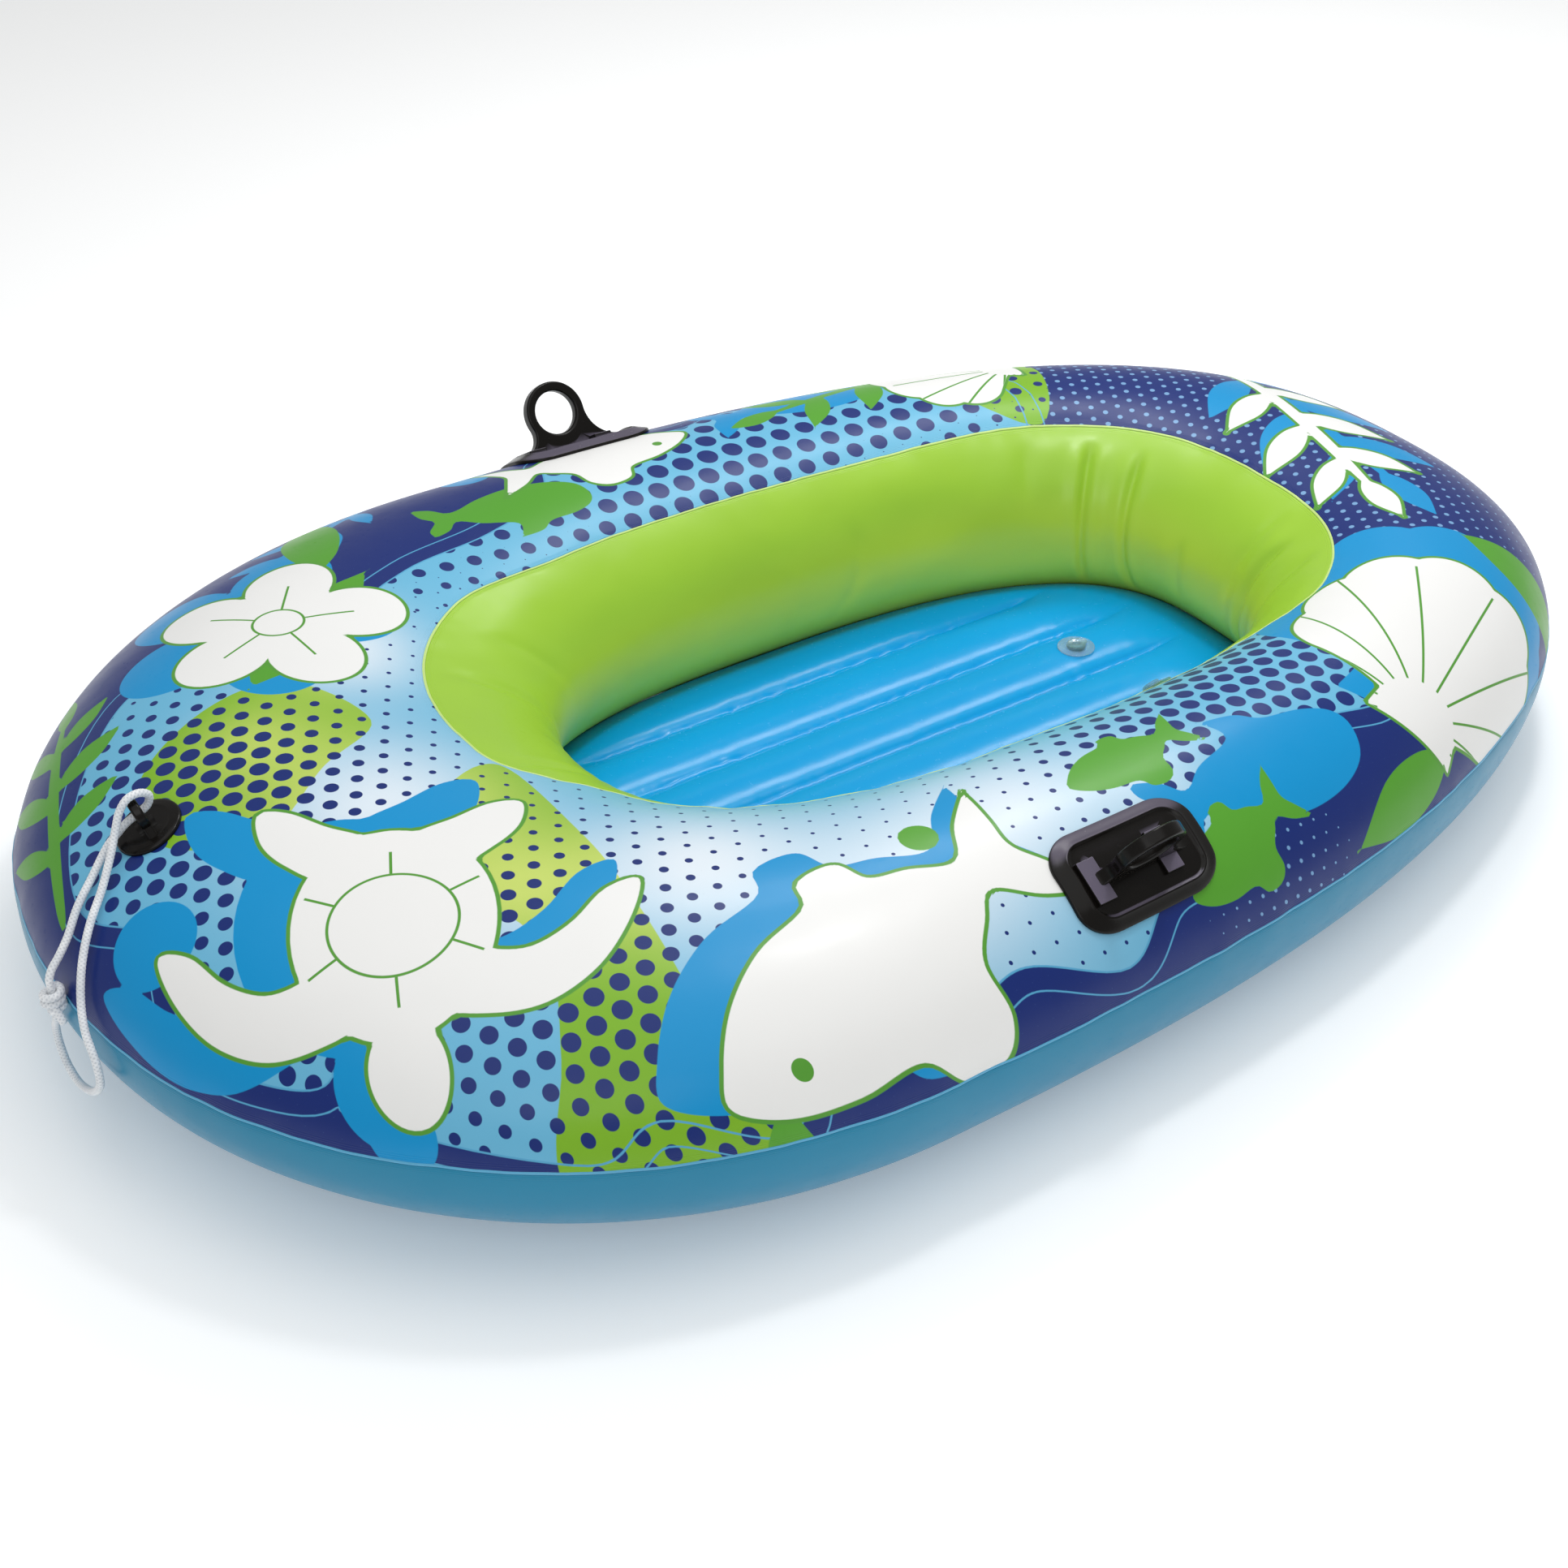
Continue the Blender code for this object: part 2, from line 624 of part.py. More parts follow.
def oarlock(name, side):
    turn = turn_at(oarlock_lean, oarlock_x, 0, radians(60), radians(130))
    inset_heights = ((0, 0.0), (0, base_edge_height), (base_edge_height * 2, base_edge_height * 1.6),
                     (tray_rim_inset, tray_rim_height), (tray_floor_inset, tray_floor_height),
                     (base_width * 0.35, tray_floor_height))
    loops = [(round_rectangle(base_length, base_width, base_corner, inset), proud)
             for inset, proud in inset_heights]
    under = [(round_rectangle(base_length, base_width, base_corner, base_width * share), 0.0)
             for share in (0.38, 0.25, 0.12)]
    mesh = draped(turn, oarlock_lean, 0, loops, under)
    # The frame's first axis runs aft along the tube, so the fin is turned to face the bow
    frame = skin_frame(turn, oarlock_lean) @ Matrix.Rotation(pi, 4, "Z")
    flip = Matrix.Diagonal((1, side, 1, 1))
    put(mesh, flip)
    body = add_object(name, mesh, black_vinyl)
    fin = upright_plate(oarlock_outline(), ring_thickness, ring_edge_round)
    put(fin, flip @ frame)
    combine(body, add_object(name + "_fin", fin, black_vinyl), "UNION")
    for k, place in enumerate((ring_ahead + pad_spread, ring_ahead - pad_spread)):
        low = (place - pad_length / 2, -ring_thickness / 2 - pad_width, tray_floor_height - fin_root_depth)
        high = (place + pad_length / 2, ring_thickness / 2 + pad_width, pad_height)
        pad = block(low, high)
        put(pad, flip @ frame)
        combine(body, add_object(f"{name}_pad_{k}", pad, black_vinyl), "UNION")
    hole = hole_cutter(ring_hole_radius, ring_thickness, ring_edge_round)
    bmesh.ops.translate(hole, vec=(ring_ahead, 0, ring_hole_height), verts=hole.verts)
    put(hole, flip @ frame)
    combine(body, add_object(name + "_hole", hole, black_vinyl), "DIFFERENCE")


oarlock("oarlock_port", 1)
oarlock("oarlock_starboard", -1)


def circle_loop(radius):
    return [Vector((cos(tau * k / 24), sin(tau * k / 24))) * radius for k in range(24)]


def bow_eyelet():
    turn = turn_at(eyelet_lean, eyelet_off_centre, 1, radians(-30), radians(20))
    top_radius = eyelet_base_radius - eyelet_base_round
    loops = [(circle_loop(eyelet_base_radius), 0.0),
             (circle_loop(eyelet_base_radius), eyelet_base_height - eyelet_base_round),
             (circle_loop(top_radius), eyelet_base_height),
             (circle_loop(top_radius / 2), eyelet_base_height)]
    under = [(circle_loop(eyelet_base_radius * share), 0.0) for share in (0.35, 0.7)]
    body = add_object("bow_eyelet", draped(turn, eyelet_lean, 1, loops, under), black_vinyl)
    frame = skin_frame(turn, eyelet_lean)
    root = eyelet_base_height - eyelet_base_round
    foot = lug_foot_width / 2
    crown = arc(0, lug_height, lug_radius, radians(-20), radians(200), 12)
    outline = [(foot, root), (foot, eyelet_base_height), *crown, (-foot, eyelet_base_height), (-foot, root)]
    lug = upright_plate(outline, lug_thickness, lug_edge_round)
    put(lug, frame)
    combine(body, add_object("bow_eyelet_lug", lug, black_vinyl), "UNION")
    hole = hole_cutter(lug_hole_radius, lug_thickness, lug_edge_round)
    bmesh.ops.translate(hole, vec=(0, 0, lug_height), verts=hole.verts)
    put(hole, frame)
    combine(body, add_object("bow_eyelet_hole", hole, black_vinyl), "DIFFERENCE")


bow_eyelet()

# The rope leaves the top of the knot, goes up the bow, forward through the lug's hole and over its top,
# comes down beside the knot and loops back up into the knot from below
rope_route = (
    (0.6925, 0.0060, 0.1391), (0.6925, 0.0060, 0.1445), (0.6895, 0.0042, 0.1500), (0.6800, -0.0015, 0.1560),
    (0.6700, -0.0075, 0.1640),
    (0.6565, -0.0180, 0.1768), (0.6365, -0.0310, 0.1900), (0.6185, -0.0415, 0.2025), (0.6100, -0.0425, 0.2088),
    (0.6018, -0.0415, 0.2160), (0.5933, -0.0405, 0.2207), (0.5857, -0.0394, 0.2262), (0.5842, -0.0381, 0.2345),
    (0.5910, -0.0372, 0.2396), (0.6005, -0.0366, 0.2388), (0.6080, -0.0355, 0.2318), (0.6135, -0.0330, 0.2215),
    (0.6220, -0.0260, 0.2080), (0.6380, -0.0110, 0.1915), (0.6570, 0.0060, 0.1775), (0.6720, 0.0220, 0.1615),
    (0.6825, 0.0370, 0.1425), (0.6885, 0.0530, 0.1270), (0.6900, 0.0690, 0.1120), (0.6900, 0.0710, 0.0940),
    (0.6900, 0.0580, 0.0770), (0.6900, 0.0390, 0.0650), (0.6900, 0.0190, 0.0590), (0.6900, 0.0010, 0.0640),
    (0.6900, -0.0080, 0.0790), (0.6905, -0.0065, 0.0930), (0.6915, 0.0010, 0.1040), (0.6925, 0.0060, 0.1115),
    (0.6925, 0.0060, 0.1169),
)


# A curve through every route point whose bends are spread by the distances between them
def smooth_route(points, steps):
    ends = [2 * points[0] - points[1], *points, 2 * points[-1] - points[-2]]
    curve = []
    for k in range(1, len(ends) - 2):
        a, b, c, d = ends[k - 1:k + 3]
        t1 = sqrt((b - a).length)
        t2 = t1 + sqrt((c - b).length)
        t3 = t2 + sqrt((d - c).length)
        for n in range(steps):
            t = t1 + (t2 - t1) * n / steps
            ab = a.lerp(b, t / t1)
            bc = b.lerp(c, (t - t1) / (t2 - t1))
            cd = c.lerp(d, (t - t2) / (t3 - t2))
            curve.append(ab.lerp(bc, t / t2).lerp(bc.lerp(cd, (t - t1) / (t3 - t1)), (t - t1) / (t2 - t1)))
    return curve + [points[-1]]


def evenly_spaced(curve, spacing):
    total = sum((b - a).length for a, b in zip(curve, curve[1:]))
    count = round(total / spacing)
    picked = [curve[0]]
    walked = 0
    for a, b in zip(curve, curve[1:]):
        step = (b - a).length
        while len(picked) < count and walked + step >= total * len(picked) / count:
            picked.append(a.lerp(b, (total * len(picked) / count - walked) / step))
        walked += step
    return picked + [curve[-1]]


def bow_rope():
    points = evenly_spaced(smooth_route([Vector(point) for point in rope_route], 12), rope_point_spacing)
    curve = bpy.data.curves.new("bow_rope", "CURVE")
    curve.dimensions = "3D"
    curve.bevel_depth = rope_radius
    curve.bevel_resolution = 2
    curve.use_fill_caps = True
    spline = curve.splines.new("POLY")
    spline.points.add(len(points) - 1)
    for point, place in zip(spline.points, points):
        point.co = (*place, 1)
    curve.materials.append(white_rope)
    rope = bpy.data.objects.new("bow_rope", curve)
    bpy.context.collection.objects.link(rope)
    rope.parent = boat


# The knot is a plump oval with two wraps, and the cord's cut end sticks out below it
def bow_rope_knot():
    half = knot_length / 2
    outline = [(0, -half)]
    for k in range(1, 14):
        angle = pi * k / 14
        wrap = knot_wrap * sin(3 * angle) ** 2
        outline.append((knot_radius * sin(angle) ** 0.8 - knot_wrap + wrap, -half * cos(angle)))
    outline.append((0, half))
    knot = add_object("bow_rope_knot", turned(outline, 18), white_rope)
    knot.location = knot_place
    reach = knot_radius + knot_tail_length
    tail = turned([(0, 0), (rope_radius, 0), (rope_radius, reach), (0, reach)], 10)
    tail.transform(Matrix.Rotation(-knot_tail_turn, 4, "X"))
    combine(knot, add_object("bow_rope_tail", tail, white_rope, knot), "UNION")


bow_rope()
bow_rope_knot()
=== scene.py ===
from math import atan2, cos, pi, radians, sin, sqrt, tau

import bmesh
import bpy
import numpy as np
from mathutils import Matrix, Vector


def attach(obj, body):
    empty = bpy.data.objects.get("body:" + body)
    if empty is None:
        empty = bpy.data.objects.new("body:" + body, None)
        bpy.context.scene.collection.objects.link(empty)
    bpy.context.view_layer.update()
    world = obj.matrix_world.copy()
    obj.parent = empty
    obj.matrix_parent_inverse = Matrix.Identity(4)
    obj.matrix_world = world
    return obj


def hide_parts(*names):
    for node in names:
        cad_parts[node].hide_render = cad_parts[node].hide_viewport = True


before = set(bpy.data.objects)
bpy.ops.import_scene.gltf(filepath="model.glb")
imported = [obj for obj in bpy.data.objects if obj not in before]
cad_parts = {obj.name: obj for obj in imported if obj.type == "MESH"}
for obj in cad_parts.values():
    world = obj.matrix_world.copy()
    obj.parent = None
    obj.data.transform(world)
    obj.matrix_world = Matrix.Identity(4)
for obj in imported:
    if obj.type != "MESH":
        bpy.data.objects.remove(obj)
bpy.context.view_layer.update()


def placed(name, data):
    item = bpy.data.objects.new(name, data)
    bpy.context.scene.collection.objects.link(item)
    return item


def aimed(name, data, place, target):
    item = placed(name, data)
    item.location = place
    item.rotation_euler = (Vector(target) - Vector(place)).to_track_quat("-Z", "Y").to_euler()
    return item


def meshData(name, mesh):
    data = bpy.data.meshes.new(name)
    mesh.to_mesh(data)
    mesh.free()
    return data


# Camera at the photo's angle, from the port side of the bow
camera = {"place": (1.1411, 1.5467, 1.3726), "target": (0.1756, 0.1704, 0.1995), "lens": 63.5, "sensor": 36,
          "nearest": 0.02}


def addCamera():
    data = bpy.data.cameras.new("photoCamera")
    data.lens, data.sensor_width, data.clip_start = camera["lens"], camera["sensor"], camera["nearest"]
    bpy.context.scene.camera = aimed("photoCamera", data, camera["place"], camera["target"])


addCamera()
bpy.context.scene.view_settings.view_transform = "Standard"


# Shader helpers: a node with its inputs, the commonest nodes, and groups whose sockets have names
def feed(node, inputs):
    for name, value in inputs.items():
        if isinstance(value, bpy.types.NodeSocket):
            node.id_data.links.new(value, node.inputs[name])
        else:
            node.inputs[name].default_value = value


def shaderNode(tree, kind, inputs, **settings):
    made = tree.nodes.new("ShaderNode" + kind)
    for name, value in settings.items():
        setattr(made, name, value)
    feed(made, inputs)
    return made.outputs


# A node in the tree of the first socket that it is given
def nodeAfter(kind, inputs, **settings):
    tree = next(value.id_data for value in inputs.values() if isinstance(value, bpy.types.NodeSocket))
    return shaderNode(tree, kind, inputs, **settings)


def maths(operation, *values):
    return nodeAfter("Math", dict(enumerate(values)), operation=operation)[0]


def vectorMaths(operation, *values, result="Vector", **inputs):
    return nodeAfter("VectorMath", {**dict(enumerate(values)), **inputs}, operation=operation)[result]


def mixColour(share, first, second):
    return nodeAfter("Mix", {0: share, 6: first, 7: second}, data_type="RGBA")[2]


def mapped(value, low, high, toLow=0.0, toHigh=1.0):
    return nodeAfter("MapRange", {0: value, 1: low, 2: high, 3: toLow, 4: toHigh})[0]


def noise(place, scale, detail=2.0, distortion=0.0):
    return nodeAfter("TexNoise", {"Vector": place, "Scale": scale, "Detail": detail, "Distortion": distortion})[0]


def raised(height, strength, distance, **inputs):  # the normal of a surface with this height
    return nodeAfter("Bump", {"Height": height, "Strength": strength, "Distance": distance, **inputs})[0]


def objectPlace(tree):
    return shaderNode(tree, "TexCoord", {})["Object"]


def spread(tree, name):  # a value that is laid on the piece's own points
    return shaderNode(tree, "Attribute", {}, attribute_name=name)["Fac"]


socketKinds = {"Colour": "Color", "Place": "Vector", "Normal": "Vector"}  # the others are numbers


def nodeGroup(name, inputs, outputs):
    tree = bpy.data.node_groups.new(name, "ShaderNodeTree")
    for way, sockets in (("INPUT", inputs), ("OUTPUT", outputs)):
        for socket in sockets:
            kind = "NodeSocket" + socketKinds.get(socket, "Float")
            tree.interface.new_socket(name=socket, in_out=way, socket_type=kind)
    return tree, tree.nodes.new("NodeGroupInput").outputs, tree.nodes.new("NodeGroupOutput")


def groupNode(tree, group, inputs):
    return shaderNode(tree, "Group", inputs, node_tree=group)


def colour(red, green, blue):  # from the 0 to 255 values of a colour picker
    linear = [(c / 255 / 12.92) if c < 10.3 else ((c / 255 + 0.055) / 1.055) ** 2.4 for c in (red, green, blue)]
    return (*linear, 1.0)


# Soft vinyl: cloudy colour, uneven gloss, slack in the film and its fine calendered grain
filmPattern = {  # scale, detail and distortion of each noise
    "cloud": (7.0, 3.0), "wipe": (46.0, 4.0), "slack": (17.0, 1.0, 0.4), "grain": (1500.0, 1.0), "scuff": (210.0, 3.0)}
filmWear = {"wipe": 0.16, "scuff": 0.10, "scuffRange": (0.62, 0.74)}  # how much each changes the roughness


def buildFilmFinish():
    tree, given, out = nodeGroup("filmFinish", ("Colour", "Cloudiness", "Gloss", "Slack", "Grain"),
                                 ("Colour", "Roughness", "Normal"))
    place = objectPlace(tree)
    cloud, wipe, slack, grain, scuff = (noise(place, *look) for look in filmPattern.values())
    shift = maths("MULTIPLY", maths("SUBTRACT", cloud, 0.5), given["Cloudiness"])
    bright = nodeAfter("HueSaturation", {"Value": maths("ADD", shift, 1.0), "Color": given["Colour"]})[0]
    uneven = maths("ADD", maths("MULTIPLY", maths("SUBTRACT", wipe, 0.5), filmWear["wipe"]),
                   maths("MULTIPLY", mapped(scuff, *filmWear["scuffRange"]), filmWear["scuff"]))
    height = maths("ADD", maths("MULTIPLY", slack, given["Slack"]), maths("MULTIPLY", grain, given["Grain"]))
    feed(out, {"Colour": bright, "Roughness": maths("ADD", given["Gloss"], uneven),
               "Normal": raised(height, 1.0, 1.0)})
    return tree


# Pressed ridges of a weld, parallel to the edge of the film, by the distance from that edge
weldPress = {"reach": (0.0062, 0.0070), "pitch": 0.0016, "depth": 0.00012, "strength": 0.5}


def buildWeldRidges():
    tree, given, out = nodeGroup("weldRidges", ("Distance", "Normal"), ("Normal",))
    band = mapped(given["Distance"], *weldPress["reach"], 1.0, 0.0)
    wave = maths("SINE", maths("MULTIPLY", given["Distance"], tau / weldPress["pitch"]))
    ridges = maths("MULTIPLY", wave, band)
    feed(out, {"Normal": raised(ridges, weldPress["strength"], weldPress["depth"], Normal=given["Normal"])})
    return tree


# How far the edges of printed shapes run out, to either side
inkEdge = {"dot": 0.00025, "fan": 0.0002, "fanEnd": 0.001, "motif": 0.00035, "line": 0.0003, "eye": 0.0005}


# Staggered round dots, whose radius may change over the surface
def buildHalftone():
    tree, given, out = nodeGroup("halftone", ("Place", "Pitch", "Radius"), ("Mask",))
    root3 = sqrt(3)
    cell = vectorMaths("SCALE", given["Place"], Scale=maths("DIVIDE", 1.0, given["Pitch"]))
    cell = vectorMaths("MULTIPLY", cell, (1.0, 1 / root3, 0.0))
    near = None
    for step in (0.0, 0.5):
        part = vectorMaths("FRACTION", vectorMaths("ADD", cell, (step, step, 0.0)))
        away = vectorMaths("SUBTRACT", part, (0.5, 0.5, 0.0))
        away = vectorMaths("MULTIPLY", away, (1.0, root3, 0.0))
        length = vectorMaths("LENGTH", away, result="Value")
        near = length if near is None else maths("MINIMUM", near, length)
    over = maths("SUBTRACT", given["Radius"], maths("MULTIPLY", near, given["Pitch"]))
    feed(out, {"Mask": mapped(over, -inkEdge["dot"], inkEdge["dot"])})
    return tree


# Thin lines that spread like a fan from a point, as on a shell or a petal
def buildFanLines():
    tree, given, out = nodeGroup("fanLines", ("Place", "Count", "From", "To", "Width"), ("Mask",))
    parts = nodeAfter("SeparateXYZ", {"Vector": given["Place"]})
    flat = vectorMaths("MULTIPLY", given["Place"], (1.0, 1.0, 0.0))
    radius = vectorMaths("LENGTH", flat, result="Value")
    angle = maths("ARCTAN2", parts[1], parts[0])
    wave = maths("ABSOLUTE", maths("SINE", maths("MULTIPLY", angle, given["Count"])))
    across = maths("DIVIDE", maths("MULTIPLY", wave, radius), given["Count"])
    line = mapped(maths("SUBTRACT", given["Width"], across), -inkEdge["fan"], inkEdge["fan"])
    begun = mapped(maths("SUBTRACT", radius, given["From"]), 0.0, inkEdge["fanEnd"])
    still = mapped(maths("SUBTRACT", given["To"], radius), 0.0, inkEdge["fanEnd"])
    feed(out, {"Mask": maths("MULTIPLY", line, maths("MULTIPLY", begun, still))})
    return tree


filmFinish, weldRidges = buildFilmFinish(), buildWeldRidges()
halftone, fanLines = buildHalftone(), buildFanLines()


def newMaterial(name):
    material = bpy.data.materials.new(name)
    material.use_nodes = True
    return material, material.node_tree, material.node_tree.nodes["Principled BSDF"]


shaderSockets = {"shine": "Specular IOR Level", "coat": "Coat Weight", "coatBlur": "Coat Roughness",
                 "glassy": "Transmission Weight", "alpha": "Alpha"}


# A film's finish, linked to its shader. What is the same all over the film is set on the shader itself
def dressFilm(shader, tint, gloss, cloudiness, slack, grain, weld=False, **fixed):
    tree = shader.id_data
    film = groupNode(tree, filmFinish, {"Colour": tint, "Cloudiness": cloudiness, "Gloss": gloss, "Slack": slack,
                                        "Grain": grain})
    normal = film["Normal"]
    if weld:
        given = {"Distance": spread(tree, "seamDistance"), "Normal": normal}
        normal = groupNode(tree, weldRidges, given)["Normal"]
    feed(shader, {"Base Color": film["Colour"], "Roughness": film["Roughness"], "Normal": normal,
                  **{shaderSockets[name]: value for name, value in fixed.items()}})


def vinyl(name, tint, *look, change=None, shine=0.4, coatBlur=0.12, **fixed):
    material, tree, shader = newMaterial(name)
    if change:  # a second tone, where an attribute of the piece says so
        tint = mixColour(spread(tree, change[0]), tint, change[1])
    dressFilm(shader, tint, *look, shine=shine, coatBlur=coatBlur, **fixed)
    return material


# After each tint: gloss, cloudiness, slack and grain
# The lime film's second tone is painted light: the cockpit wall is painted lighter towards its foot, where the near
# tube shades it
limeFilm = vinyl("limeFilm", colour(156, 200, 54), 0.33, 0.16, 0.0011, 0.000008, coat=0.04, weld=True,
                 change=("wallPaintedLight", colour(236, 248, 92)))
sideFilm = vinyl("sideFilm", colour(28, 130, 166), 0.34, 0.12, 0.0008, 0.000008, coat=0.06, weld=True, shine=0.3)
floorFilm = vinyl("floorFilm", colour(0, 156, 224), 0.21, 0.10, 0.0004, 0.000002, coat=0.02, shine=0.30)
# The black vinyl's second tone is a painted sheen: lilac grey on the oarlocks' pad tops and upward faces
blackVinyl = vinyl("blackVinyl", colour(18, 16, 14), 0.22, 0.25, 0.0002, 0.000010, shine=0.18,
                   change=("paintedSheen", colour(100, 94, 110)))
limeWeld = vinyl("limeWeld", colour(196, 222, 130), 0.33, 0.2, 0.0004, 0.000010)
blueWeld = vinyl("blueWeld", colour(88, 168, 206), 0.33, 0.2, 0.0004, 0.000010)
clearVinyl = vinyl("clearVinyl", colour(176, 216, 236), 0.14, 0.1, 0.0001, 0.000008, shine=0.5, glassy=0.7, alpha=0.6)

ropeTint = {"clean": colour(246, 248, 250), "soiled": colour(222, 226, 230), "paintedGrooveShade": colour(150, 160, 172),
            "fibreScale": 2600.0, "fibreDepth": 0.0002, "roughness": (0.6, 0.85), "soilScale": 90.0,
            "soilRange": (0.35, 0.75), "paintedGrooveShadeRange": (0.1, 0.9, 0.55, 0.0), "sheen": 0.3}


def buildRopeFibre():
    material, tree, shader = newMaterial("ropeFibre")
    place = objectPlace(tree)
    fibre, soil = noise(place, ropeTint["fibreScale"]), noise(place, ropeTint["soilScale"], 3.0)
    tint = mixColour(mapped(soil, *ropeTint["soilRange"]), ropeTint["clean"], ropeTint["soiled"])
    # Painted shade: the rope's colour is darker grey in the grooves between its strands
    paintedGrooveShade = mapped(spread(tree, "paintedGrooveShade"), *ropeTint["paintedGrooveShadeRange"])
    feed(shader, {"Base Color": mixColour(paintedGrooveShade, tint, ropeTint["paintedGrooveShade"]), "Sheen Weight": ropeTint["sheen"],
                  "Roughness": mapped(fibre, 0.0, 1.0, *ropeTint["roughness"]),
                  "Normal": raised(fibre, 0.6, ropeTint["fibreDepth"])})
    return material


ropeFibre = buildRopeFibre()


def addPiece(name, shape, material, body="hull", node=None, sharp=None):
    data = shape if isinstance(shape, bpy.types.Mesh) else meshData(name, shape)
    data.materials.clear()
    data.materials.append(material)
    data.shade_smooth()
    if sharp:
        data.set_sharp_from_angle(angle=radians(sharp))
    piece = placed(name, data)
    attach(piece, body)
    if node:
        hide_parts(node)
    return piece


mergeDistance = 1e-6


# A grid whose rows and columns are laid on given places, closed where they meet
def laidGrid(places, layers=None):
    rows, columns = places.shape[:2]
    mesh = bmesh.new()
    bmesh.ops.create_grid(mesh, x_segments=columns - 1, y_segments=rows - 1, size=0.5)
    for vert, place in zip(mesh.verts, places.reshape(-1, 3).tolist()):
        vert.co = place
    for name, values in (layers or {}).items():
        layer = mesh.verts.layers.float_vector.new(name)
        for vert, value in zip(mesh.verts, values.reshape(-1, 3).tolist()):
            vert[layer] = value
    bmesh.ops.remove_doubles(mesh, verts=mesh.verts, dist=mergeDistance)
    return mesh


def pointAttribute(data, name, values):
    data.attributes.new(name, "FLOAT", "POINT").data.foreach_set("value", np.asarray(values, np.float32))


def readVectors(data, name):
    values = np.empty(len(data.vertices) * 3, np.float32)
    data.attributes[name].data.foreach_get("vector", values)
    return values.reshape(-1, 3).astype(float)


# Bow rope. The route is the CAD rope's: out of the knot, through the eyelet, over it and round a loop
rope = {"radius": 0.0030, "braidStrands": 4, "braidPitch": 0.0115, "braidLow": 0.945, "braidRise": 0.065,
        "step": 0.00055, "around": 24, "end": (0.6925, 0.0060, 0.1391), "knot": (0.6925, 0.006, 0.128),
        "knotWrap": 0.0064, "knotRise": 0.0153, "knotTurns": 2.6, "knotSteps": 160, "knotStart": 0.4,
        "coreOverrun": 0.0031, "tailTurn": radians(128), "tail": ((0.009, (0.001, 0, 0)), (0.0185, (0, 0, -0.0012))),
        "endAngles": (pi / 2, 1.2, 0.8, 0.4), "endRise": 0.5}
ropeRoute = (
    (0.6925, 0.0060, 0.1391), (0.6925, 0.0060, 0.1445), (0.6895, 0.0042, 0.1500), (0.6800, -0.0015, 0.1560),
    (0.6700, -0.0075, 0.1640),
    (0.6565, -0.0180, 0.1768), (0.6365, -0.0310, 0.1900), (0.6185, -0.0415, 0.2025), (0.6100, -0.0425, 0.2088),
    (0.6018, -0.0415, 0.2160), (0.5933, -0.0405, 0.2207), (0.5857, -0.0394, 0.2262), (0.5842, -0.0381, 0.2345),
    (0.5910, -0.0372, 0.2396), (0.6005, -0.0366, 0.2388), (0.6080, -0.0355, 0.2318), (0.6135, -0.0330, 0.2215),
    (0.6220, -0.0260, 0.2080), (0.6380, -0.0110, 0.1915), (0.6570, 0.0060, 0.1775), (0.6720, 0.0220, 0.1615),
    (0.6825, 0.0370, 0.1425), (0.6885, 0.0530, 0.1270), (0.6900, 0.0690, 0.1120), (0.6900, 0.0710, 0.0940),
    (0.6900, 0.0580, 0.0770), (0.6900, 0.0390, 0.0650), (0.6900, 0.0190, 0.0590), (0.6900, 0.0010, 0.0640),
    (0.6900, -0.0080, 0.0790), (0.6905, -0.0065, 0.0930), (0.6915, 0.0010, 0.1040), (0.6925, 0.0060, 0.1115),
    (0.6925, 0.0060, 0.1169),
)


# A curve through every route point whose bends are spread by the distances between them
def smoothRoute(points, steps):
    points = [Vector(point) for point in points]
    ends = [2 * points[0] - points[1], *points, 2 * points[-1] - points[-2]]
    curve = []
    for k in range(1, len(ends) - 2):
        a, b, c, d = ends[k - 1:k + 3]
        t1 = sqrt((b - a).length)
        t2 = t1 + sqrt((c - b).length)
        t3 = t2 + sqrt((d - c).length)
        for n in range(steps):
            t = t1 + (t2 - t1) * n / steps
            ab = a.lerp(b, t / t1)
            bc = b.lerp(c, (t - t1) / (t2 - t1))
            cd = c.lerp(d, (t - t2) / (t3 - t2))
            curve.append(ab.lerp(bc, t / t2).lerp(bc.lerp(cd, (t - t1) / (t3 - t1)), (t - t1) / (t2 - t1)))
    return curve + [points[-1]]


def evenly(curve, spacing):
    line = np.array([tuple(point) for point in curve])
    walked = np.concatenate([[0], np.cumsum(np.linalg.norm(np.diff(line, axis=0), axis=1))])
    marks = np.linspace(0, walked[-1], max(4, round(walked[-1] / spacing)))
    return np.stack([np.interp(marks, walked, line[:, k]) for k in range(3)], -1), walked[-1]


